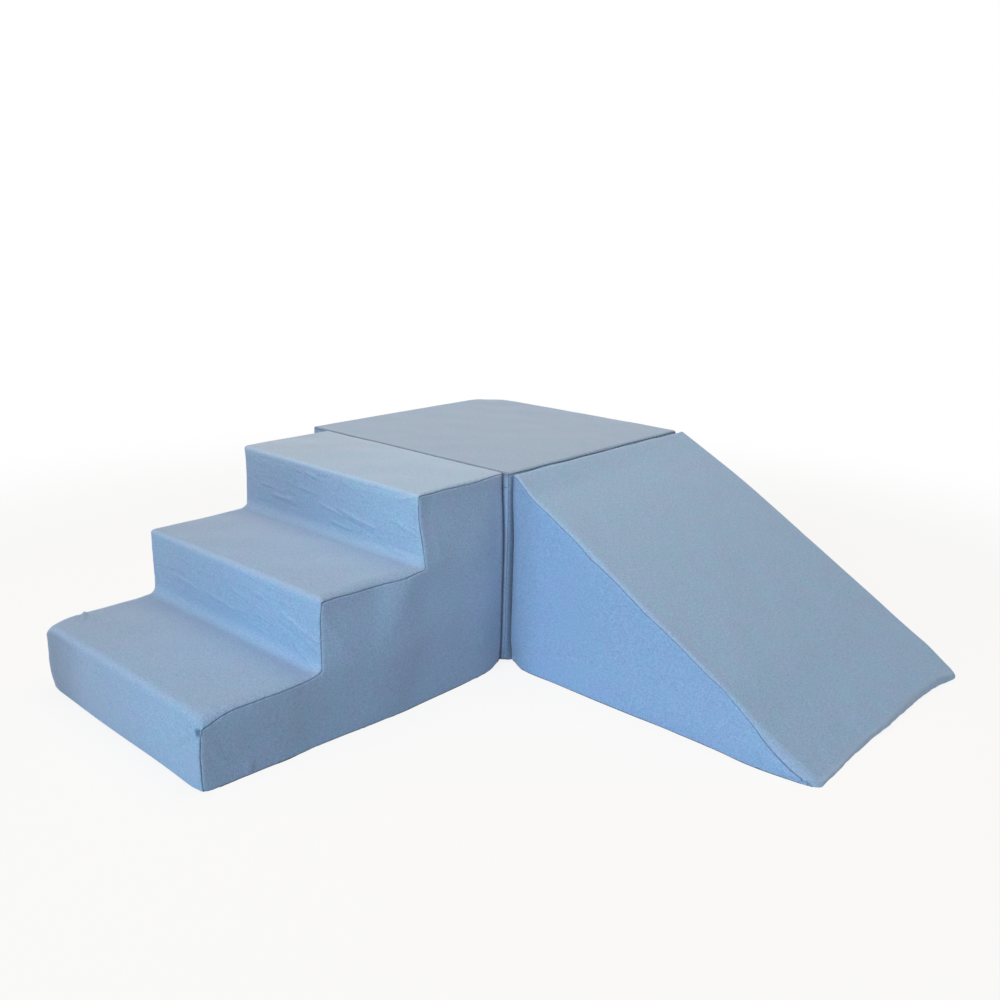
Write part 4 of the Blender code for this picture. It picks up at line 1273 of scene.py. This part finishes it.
def point_value(tree, name, output="Fac"):
    """An attribute that a cover's mesh holds at its points."""
    return node(tree, "ShaderNodeAttribute", attribute_name=name).outputs[output]


def effect(tree, group, inputs):
    """An effect's outputs, placed in a material with values of its own."""
    return node(tree, "ShaderNodeGroup", inputs, node_tree=group).outputs


def group_tree(name, inputs, outputs):
    """An empty shader group with named sockets, what it is given, and its output node."""
    tree = bpy.data.node_groups.new(name, "ShaderNodeTree")
    for label, kind, value in inputs:
        socket = tree.interface.new_socket(label, in_out="INPUT", socket_type=kind)
        if value is not None:
            socket.default_value = value
    for label, kind in outputs:
        tree.interface.new_socket(label, in_out="OUTPUT", socket_type=kind)
    given = tree.nodes.new("NodeGroupInput").outputs
    return tree, given, tree.nodes.new("NodeGroupOutput")


# Effects that several materials use

def nap_group():
    """The brushed nap: cloudy colour, fine grain and the height of the pile."""
    tree, given, result = group_tree(
        "brushed_nap",
        [
            ("Vector", "NodeSocketVector", None),
            ("Colour", "NodeSocketColor", MID_GREY),
            ("Cool Tint", "NodeSocketColor", MID_GREY),
            ("Cloud Scale", "NodeSocketFloat", 22.0),
            ("Grain Scale", "NodeSocketFloat", 700.0),
            ("Grain", "NodeSocketFloat", 0.1),
        ],
        [("Colour", "NodeSocketColor"), ("Height", "NodeSocketFloat")],
    )
    place = given["Vector"]
    cloud = noise(tree, place, {"Scale": given["Cloud Scale"], **CLOUD_NOISE})
    grain = noise(tree, place, {"Scale": given["Grain Scale"], **GRAIN_NOISE})
    fleck = noise(tree, place, FLECK_NOISE)
    patch = carried(tree, cloud, *CLOUD_SPAN)
    tinted = blend_colours(tree, patch, given["Colour"], given["Cool Tint"])
    both = math_node(tree, "ADD", grain, fleck)
    centred = math_node(tree, "SUBTRACT", both, 1.0)
    scaled = math_node(tree, "MULTIPLY_ADD", centred, given["Grain"], 1.0)
    speckled = blend_colours(tree, 1.0, tinted, grey(tree, scaled), "MULTIPLY")
    set_inputs(tree, result, {"Colour": speckled, "Height": both})
    return tree


def seam_group():
    """Painted shade in the seam, and the small puckers that the stitching draws up beside it."""
    tree, given, result = group_tree(
        "seam_pucker",
        [
            ("Vector", "NodeSocketVector", None),
            ("Distance", "NodeSocketFloat", 0.1),
            ("Along", "NodeSocketFloat", 0.0),
            ("Reach", "NodeSocketFloat", 0.012),
            ("Line", "NodeSocketFloat", 0.0009),
        ],
        [("Dark", "NodeSocketFloat"), ("Height", "NodeSocketFloat")],
    )
    line = carried(tree, given["Distance"], 0.0, given["Line"], 1.0, 0.0)
    near = carried(tree, given["Distance"], 0.0, given["Reach"], 1.0, 0.0)
    bend = noise(tree, given["Vector"], PUCKER_NOISE)
    phase = math_node(tree, "MULTIPLY", bend, PUCKER_WOBBLE)
    turns = math_node(tree, "MULTIPLY_ADD", given["Along"], PUCKER_RATE, phase)
    uneven = math_node(tree, "MULTIPLY", math_node(tree, "SINE", turns), bend)
    pucker = math_node(tree, "MULTIPLY", uneven, near)
    set_inputs(tree, result, {"Dark": line, "Height": pucker})
    return tree


def crinkle_group():
    """Fine slanting wrinkles, as ridges in a stretched and turned place."""
    tree, given, result = group_tree(
        "fine_crinkle",
        [("Vector", "NodeSocketVector", None), ("Amount", "NodeSocketFloat", 1.0)],
        [("Height", "NodeSocketFloat")],
    )
    turned = node(tree, "ShaderNodeMapping", {
        "Vector": given["Vector"], "Rotation": (0.0, CRINKLE_SLANT, 0.0), "Scale": CRINKLE_SIZE,
    }, vector_type="TEXTURE").outputs[0]
    centred = math_node(tree, "SUBTRACT", noise(tree, turned, CRINKLE_NOISE), 0.5)
    ridge = math_node(tree, "ABSOLUTE", centred)
    crease = carried(tree, ridge, 0.0, CRINKLE_WIDTH, 1.0, 0.0, "SMOOTHSTEP")
    where = carried(tree, noise(tree, given["Vector"], CRINKLED_NOISE), *CRINKLED_SPAN)
    masked = math_node(tree, "MULTIPLY", crease, where)
    set_inputs(tree, result, {"Height": math_node(tree, "MULTIPLY", masked, given["Amount"])})
    return tree


def weave_group():
    """Woven tape or base cloth: two crossing sets of threads."""
    tree, given, result = group_tree(
        "plain_weave",
        [("Vector", "NodeSocketVector", None), ("Threads", "NodeSocketFloat", 1500.0)],
        [("Height", "NodeSocketFloat")],
    )
    x, y, z = node(tree, "ShaderNodeSeparateXYZ", {0: given["Vector"]}).outputs
    threads = []
    for operation in ("ADD", "SUBTRACT"):
        flat = math_node(tree, operation, x, y)
        slant = math_node(tree, operation, flat, z)
        turns = math_node(tree, "MULTIPLY", slant, given["Threads"])
        threads.append(math_node(tree, "SINE", turns))
    set_inputs(tree, result, {"Height": math_node(tree, "MULTIPLY", *threads)})
    return tree


NAP = nap_group()
SEAM = seam_group()
CRINKLE = crinkle_group()
WEAVE = weave_group()


# Materials

def cover_material():
    """Brushed microfibre suede: matt, with a soft pale sheen where it is seen edge on."""
    material, tree, shader = new_material("cover_suede")
    place = object_place(tree)
    nap = effect(tree, NAP, {
        "Vector": place, "Colour": COVER_BLUE, "Cool Tint": COVER_COOL, "Grain": SUEDE_GRAIN,
    })
    seam = effect(tree, SEAM, {
        "Vector": place, "Distance": point_value(tree, "seam"),
        "Along": point_value(tree, "along"),
    })
    crinkle = effect(tree, CRINKLE, {"Vector": place, "Amount": point_value(tree, "creased")})
    # The blocks' painted light and shade multiply the cloth's colour
    tint = point_value(tree, "tint", "Color")
    light_and_shade_painted = blend_colours(tree, 1.0, nap["Colour"], tint, "MULTIPLY")
    # Noses and inner corners paler, partly from wear and partly as a painted highlight
    wear_and_highlight_share = math_node(tree, "MULTIPLY", point_value(tree, "worn"), WEAR_AND_HIGHLIGHT_SHARE)
    worn_and_highlighted = blend_colours(tree, wear_and_highlight_share, light_and_shade_painted, WEAR_AND_HIGHLIGHT_BLUE)
    # Painted shade along the seam's groove, darkening the cloth's colour
    seam_shade = math_node(tree, "MULTIPLY", seam["Dark"], SEAM_SHADE_SHARE)
    colour = blend_colours(tree, seam_shade, worn_and_highlighted, SEAM_SHADE_BLUE)
    pile = bump(tree, nap["Height"], PILE_RELIEF)
    puckered = bump(tree, seam["Height"], PUCKER_RELIEF, pile)
    wrinkled = bump(tree, crinkle["Height"], CRINKLE_RELIEF, puckered)
    set_inputs(tree, shader, {"Base Color": colour, "Normal": wrinkled, **SUEDE_FINISH})
    return material


def woven_material(name, colour, threads, roughness):
    """Tape, base cloth, or the pile of a hook or loop strip."""
    material, tree, shader = new_material(name)
    place = object_place(tree)
    cool = tuple(WOVEN_COOL_SHARE * x for x in colour[:3]) + (1.0,)
    nap = effect(tree, NAP, {
        "Vector": place, "Colour": colour, "Cool Tint": cool, "Grain": WOVEN_GRAIN,
    })
    weave = effect(tree, WEAVE, {"Vector": place, "Threads": threads})
    set_inputs(tree, shader, {
        "Base Color": nap["Colour"], "Roughness": roughness,
        "Normal": bump(tree, weave["Height"], WEAVE_RELIEF),
    })
    return material


def plain_material(name, colour, roughness):
    """Spun thread or moulded plastic, with a slight unevenness."""
    material, tree, shader = new_material(name)
    nap = effect(tree, NAP, {
        "Vector": object_place(tree), "Colour": colour, "Cool Tint": colour,
    })
    set_inputs(tree, shader, {"Base Color": nap["Colour"], "Roughness": roughness})
    return material


def foam_material():
    """Open-celled foam, darker in its pores."""
    material, tree, shader = new_material("open_cell_foam")
    cells = node(tree, "ShaderNodeTexVoronoi", {
        "Vector": object_place(tree), "Scale": FOAM_CELLS,
    }).outputs["Distance"]
    pores = carried(tree, cells, 0.0, FOAM_PORE_WIDTH, FOAM_PORE_SHADE, 1.0)
    set_inputs(tree, shader, {
        "Base Color": blend_colours(tree, 1.0, FOAM_CREAM, grey(tree, pores), "MULTIPLY"),
        "Normal": bump(tree, cells, FOAM_RELIEF), "Roughness": FOAM_ROUGHNESS,
    })
    return material


def metal_material():
    """Cast zip metal, with the small scratches of use."""
    material, tree, shader = new_material("zip_nickel")
    rub = noise(tree, object_place(tree), SCRATCH_NOISE)
    set_inputs(tree, shader, {
        "Base Color": blend_colours(tree, rub, NICKEL_DARK, NICKEL_PALE),
        "Roughness": carried(tree, rub, 0.0, 1.0, *NICKEL_ROUGHNESS), "Metallic": 1.0,
    })
    return material


SUEDE = cover_material()
BASE_CLOTH = woven_material("base_cloth", BASE_GREY, 2400.0, 0.95)
TAPE = woven_material("zip_tape_twill", TAPE_BLUE, 3600.0, 0.85)
HOOK = woven_material("hook_pile", HOOK_GREY, 2100.0, 0.7)
LOOP = woven_material("loop_pile", LOOP_GREY, 1300.0, 0.95)
THREAD = plain_material("sewing_thread", THREAD_BLUE, 0.7)
COIL = plain_material("zip_coil_plastic", COIL_BLUE, 0.4)
DOT = plain_material("base_dot_rubber", DOT_GREY, 0.6)
FOAM = foam_material()
METAL = metal_material()


# The blocks

STEPS = block_frame(
    "steps", "steps_foam_lower", "steps_foam_upper", (0, -1, 0), (1, 0, 0), steps_corners,
    FINE_GRID, RISER_GRID,
)
PLATFORM = block_frame(
    "platform", "platform_foam_lower", "platform_foam_upper", (0, -1, 0), (1, 0, 0),
    platform_corners, PLAIN_GRID,
)
RAMP = block_frame(
    "ramp", "ramp_foam", "ramp_foam", (1, 0, 0), (0, -1, 0), ramp_corners, PLAIN_GRID,
)


def zip_notch(block):
    """Where the far side panel is open for the zip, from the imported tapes."""
    lower, upper = (f"{block.name}_zip_tape_{word}" for word in ("lower", "upper"))
    start, end = packed_span(block, lower, block.out)
    low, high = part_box(lower)[0].z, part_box(upper)[1].z
    return Notch(start - SEAM_GAP, end + SEAM_GAP, low - SEAM_GAP, high + SEAM_GAP)


def fit_cover(item, block, node_name):
    """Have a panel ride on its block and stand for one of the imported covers."""
    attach(item, block.name)
    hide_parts(node_name)


def dress_block(block, panels, grid):
    """A block's cover: the ring's panels, each from one seam across it to the next, and two sides."""
    seams = block.outline.seams()
    for word, first, last in zip(panels, seams, seams[1:] + seams[:1]):
        name = f"{block.name}_{word}_fabric"
        is_base = word == "base"
        item = ring_panel(block, name, first, last, grid, BASE_CLOTH if is_base else SUEDE)
        fit_cover(item, block, f"{block.name}_{word}_cover")
    for word, sign in (("near", 1), ("far", -1)):
        notch = zip_notch(block) if sign < 0 else None
        item = side_panel(block, f"{block.name}_{word}_side_fabric", sign, PLAIN_GRID, SUEDE, notch)
        fit_cover(item, block, f"{block.name}_{word}_side_cover")


def fit_foam(block, node_name, outline):
    """A foam slab inside a block's cover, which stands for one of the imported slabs."""
    half = block.width / 2 - SKIN - FOAM_EASE
    item = foam_body(block, node_name.replace("foam", "core"), outline, half, FOAM)
    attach(item, block.name)
    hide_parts(node_name)


dress_block(STEPS, ("base", "tread", "back"), ACROSS_GRID)
dress_block(PLATFORM, ("base", "front", "top", "back"), PLAIN_GRID)
dress_block(RAMP, ("base", "slope", "back"), PLAIN_GRID)
for block in (STEPS, PLATFORM):
    for word in ("lower", "middle", "upper"):
        name = f"{block.name}_foam_{word}"
        fit_foam(block, name, slab_outline(block, name, word == "lower"))
fit_foam(RAMP, "ramp_foam", wedge_outline(RAMP))

FINISHES = {
    "zip_tape": TAPE, "zip_slider": METAL, "zip_pull": METAL,
    "hook_strip": HOOK, "loop_strip": LOOP,
}
for name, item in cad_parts.items():
    for word, material in FINISHES.items():
        if word in name:
            for slot in item.material_slots:
                slot.material = material


# Stitches, zip coils and the dots under the base, made with Geometry Nodes

def repeat_tree(name, inputs):
    """An empty geometry group with named inputs, and what it is given."""
    tree = bpy.data.node_groups.new(name, "GeometryNodeTree")
    for label, kind in inputs:
        tree.interface.new_socket(label, in_out="INPUT", socket_type=kind)
    tree.interface.new_socket("Geometry", in_out="OUTPUT", socket_type="NodeSocketGeometry")
    return tree, tree.nodes.new("NodeGroupInput").outputs


def finish_tree(tree, given, instances):
    """Make the instances real, smooth and painted, and put them out."""
    real = node(tree, "GeometryNodeRealizeInstances", {0: instances})
    smooth = node(tree, "GeometryNodeSetShadeSmooth", {0: real.outputs[0]})
    painted = node(tree, "GeometryNodeSetMaterial", {
        "Geometry": smooth.outputs[0], "Material": given["Material"],
    })
    node(tree, "NodeGroupOutput", {"Geometry": painted.outputs[0]})
    return tree


def path_tree(name, axis):
    """Short round rods repeated along paths. The axis is the rod's own that follows the path."""
    tree, given = repeat_tree(name, [
        ("Path", "NodeSocketGeometry"), ("Pitch", "NodeSocketFloat"),
        ("Length", "NodeSocketFloat"), ("Radius", "NodeSocketFloat"),
        ("Sides", "NodeSocketInt"), ("Material", "NodeSocketMaterial"),
    ])
    curve = node(tree, "GeometryNodeMeshToCurve", {"Mesh": given["Path"]})
    spaced = node(tree, "GeometryNodeResampleCurve", {
        "Curve": curve.outputs[0], "Length": given["Pitch"],
    }, mode="LENGTH")
    tangent = node(tree, "GeometryNodeInputTangent")
    turn = node(tree, "FunctionNodeAlignRotationToVector", {
        "Vector": tangent.outputs[0],
    }, axis=axis)
    rod = node(tree, "GeometryNodeMeshCylinder", {
        "Vertices": given["Sides"], "Radius": given["Radius"], "Depth": given["Length"],
    })
    placed = node(tree, "GeometryNodeInstanceOnPoints", {
        "Points": spaced.outputs[0], "Instance": rod.outputs["Mesh"], "Rotation": turn.outputs[0],
    })
    return finish_tree(tree, given, placed.outputs[0])


def dot_tree(name):
    """Flat domes, one on each point."""
    tree, given = repeat_tree(name, [
        ("Points", "NodeSocketGeometry"), ("Radius", "NodeSocketFloat"),
        ("Height", "NodeSocketFloat"), ("Material", "NodeSocketMaterial"),
    ])
    dome = node(tree, "GeometryNodeMeshUVSphere", {
        "Segments": DOME_SEGMENTS, "Rings": DOME_RINGS, "Radius": given["Radius"],
    })
    flatness = math_node(tree, "DIVIDE", given["Height"], given["Radius"])
    scale = node(tree, "ShaderNodeCombineXYZ", {0: 1.0, 1: 1.0, 2: flatness})
    placed = node(tree, "GeometryNodeInstanceOnPoints", {
        "Points": given["Points"], "Instance": dome.outputs["Mesh"], "Scale": scale.outputs[0],
    })
    return finish_tree(tree, given, placed.outputs[0])


def grow(name, vertices, edges, tree, values):
    """A plain mesh of what a tree makes on some points and edges."""
    mesh = bpy.data.meshes.new(name)
    mesh.from_pydata([tuple(point) for point in vertices], edges, [])
    item = add_object(name, mesh)
    repeat = item.modifiers.new("repeat", "NODES")
    repeat.node_group = tree
    for socket in tree.interface.items_tree:
        if socket.in_out == "INPUT" and socket.name in values:
            repeat[socket.identifier] = values[socket.name]
    graph = bpy.context.evaluated_depsgraph_get()
    made = bpy.data.meshes.new_from_object(item.evaluated_get(graph), depsgraph=graph)
    item.modifiers.remove(repeat)
    item.data = made
    return item


LENGTHWISE = path_tree("rods_along", "Z")
CROSSWISE = path_tree("rods_across", "X")
DOTS = dot_tree("flat_dots")
STITCH = {
    "Pitch": STITCH_PITCH, "Length": STITCH_LENGTH, "Radius": STITCH_RADIUS, "Sides": ROD_SIDES,
    "Material": THREAD,
}
COIL_TURN = {
    "Pitch": COIL_PITCH, "Length": COIL_WIDTH, "Radius": COIL_RADIUS, "Sides": ROD_SIDES,
    "Material": COIL,
}
DOT_DOME = {"Radius": DOT_RADIUS, "Height": DOT_HEIGHT, "Material": DOT}
RECTANGLE = ((0, 0), (1, 0), (1, 1), (0, 1))


def strip_paths(block):
    """A stitched rectangle on the open face of each hook or loop strip of a block."""
    vertices, edges = [], []
    middle = block.origin + block.out * block.length / 2
    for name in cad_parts:
        if not name.startswith(block.name) or "_strip_" not in name:
            continue
        low, high = (np.array(point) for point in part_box(name))
        thin = int((high - low).argmin())
        wide = 1 - thin
        outer = high[thin] if (low[thin] + high[thin]) / 2 > middle[thin] else low[thin]
        first = len(vertices)
        for index, (across, up) in enumerate(RECTANGLE):
            point = np.zeros(3)
            point[thin] = outer
            point[wide] = mix(low[wide] + STITCH_INSET, high[wide] - STITCH_INSET, across)
            point[2] = mix(low[2] + STITCH_INSET, high[2] - STITCH_INSET, up)
            vertices.append(point)
            edges.append((first + index, first + (index + 1) % len(RECTANGLE)))
    return vertices, edges


def tape_line(block, word):
    """The two ends of a zip tape, the heights of its edges and how far out its coil reaches."""
    name = f"{block.name}_zip_tape_{word}"
    low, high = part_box(name)
    face = packed_span(block, name, block.across)[0]
    return packed_span(block, name, block.out), (low.z, high.z), face


def tape_paths(block):
    """Stitch lines where the zip tapes are sewn to the cover."""
    points, edges = [], []
    for word, edge, way in (("lower", 0, 1), ("upper", 1, -1)):
        ends, heights, _ = tape_line(block, word)
        height = heights[edge] + way * STITCH_INSET
        for end in ends:
            points.append((end, height, -block.width / 2))
        edges.append((len(points) - 2, len(points) - 1))
    return list(to_world(block, np.array(points))), edges


def sew(block):
    """All the stitches of a block, round its strips and along its zip tapes."""
    vertices, edges = strip_paths(block)
    more, lines = tape_paths(block)
    edges += [(len(vertices) + a, len(vertices) + b) for a, b in lines]
    item = grow(block.name + "_stitches", vertices + more, edges, LENGTHWISE, STITCH)
    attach(item, block.name)


def coil_zip(block):
    """The zip's coil, laid over the beads of both tapes."""
    ends, lower, face = tape_line(block, "lower")
    _, upper, _ = tape_line(block, "upper")
    height = (lower[1] + upper[0]) / 2
    centre = face + COIL_RADIUS - COIL_PROUD
    line = to_world(block, np.array([(end, height, centre) for end in ends]))
    item = grow(block.name + "_zip_coil", line, [(0, 1)], CROSSWISE, COIL_TURN)
    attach(item, block.name)


def dot_base(block):
    """Rubber dots under the base, against slipping. The floor hides them."""
    reach = block.width / 2 - DOT_MARGIN
    places = [
        (a, DOT_HEIGHT, c)
        for a in np.arange(DOT_MARGIN, block.length - DOT_MARGIN, DOT_PITCH)
        for c in np.arange(-reach, reach, DOT_PITCH)
    ]
    item = grow(block.name + "_base_dots", to_world(block, np.array(places)), [], DOTS, DOT_DOME)
    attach(item, block.name)


for block in (STEPS, PLATFORM, RAMP):
    sew(block)
    coil_zip(block)
    dot_base(block)


# Floor, light and camera

def seen_directly(tree):
    """1 for what the camera sees, straight or in a polished piece, and 0 for the lamps' bounce."""
    path = node(tree, "ShaderNodeLightPath").outputs
    return math_node(tree, "MAXIMUM", path["Is Camera Ray"], path["Is Glossy Ray"])


def floor_material():
    """Pale floor: white to the camera with a faint shadow, and plain pale to the lamps' bounce."""
    material, tree, shader = new_material("pale_floor")
    set_inputs(tree, shader, {
        "Base Color": FLOOR_GREY, "Roughness": 1.0, "Specular IOR Level": 0.0,
    })
    white = node(tree, "ShaderNodeEmission", {"Color": WHITE, "Strength": 1.0})
    away = node(tree, "ShaderNodeVectorMath", {0: object_place(tree)}, operation="LENGTH")
    white_share = carried(
        tree, away.outputs["Value"], SHADOW_REACH, 2 * SHADOW_REACH, SHADOW_WHITE_SHARE, 1.0,
        "SMOOTHSTEP",
    )
    share = math_node(tree, "MULTIPLY", seen_directly(tree), white_share)
    mixed = node(tree, "ShaderNodeMixShader", {0: share, 1: shader.outputs[0], 2: white.outputs[0]})
    set_inputs(tree, tree.nodes["Material Output"], {"Surface": mixed.outputs[0]})
    return material


def make_floor():
    mesh = bpy.data.meshes.new("floor")
    reach = FLOOR_SIZE / 2
    mesh.from_pydata(
        [(-reach, -reach, 0), (reach, -reach, 0), (reach, reach, 0), (-reach, reach, 0)],
        [], [(0, 1, 2, 3)],
    )
    mesh.materials.append(floor_material())
    item = add_object("floor", mesh)


def make_world():
    """A soft pale light all round, which the camera sees as white."""
    world = bpy.data.worlds.new("studio")
    world.use_nodes = True
    tree = world.node_tree
    plain = tree.nodes["Background"]
    set_inputs(tree, plain, {"Color": WORLD_COLOUR, "Strength": WORLD_LEVEL})
    white = node(tree, "ShaderNodeBackground", {"Color": WHITE, "Strength": 1.0})
    mixed = node(tree, "ShaderNodeMixShader", {
        0: seen_directly(tree), 1: plain.outputs[0], 2: white.outputs[0],
    })
    set_inputs(tree, tree.nodes["World Output"], {"Surface": mixed.outputs[0]})
    bpy.context.scene.world = world


def make_lamp(lamp):
    light = bpy.data.lights.new(lamp.name, "AREA")
    light.shape = "DISK"
    light.size = lamp.size
    light.energy = lamp.power
    light.color = lamp.colour
    item = add_object(lamp.name, light)
    item.location = lamp.place
    way = Vector(lamp.target) - Vector(lamp.place)
    item.rotation_euler = way.to_track_quat("-Z", "Y").to_euler()


def make_camera():
    camera = bpy.data.cameras.new("camera")
    camera.sensor_width = SENSOR_WIDTH
    camera.lens = CAMERA_LENS
    azimuth, elevation = CAMERA_AZIMUTH, CAMERA_ELEVATION
    back = Vector((
        math.sin(azimuth) * math.cos(elevation),
        -math.cos(azimuth) * math.cos(elevation),
        math.sin(elevation),
    ))
    right = Vector((math.cos(azimuth), math.sin(azimuth), 0.0))
    up = back.cross(right)
    rolled_right = right * math.cos(CAMERA_ROLL) + up * math.sin(CAMERA_ROLL)
    rolled_up = -right * math.sin(CAMERA_ROLL) + up * math.cos(CAMERA_ROLL)
    turn = Matrix((rolled_right, rolled_up, back)).transposed().to_4x4()
    item = add_object("camera", camera)
    item.matrix_world = Matrix.Translation(Vector(CAMERA_PLACE)) @ turn
    bpy.context.scene.camera = item


make_floor()
make_world()
for lamp in LAMPS:
    make_lamp(lamp)
make_camera()
bpy.context.scene.view_settings.view_transform = "Standard"
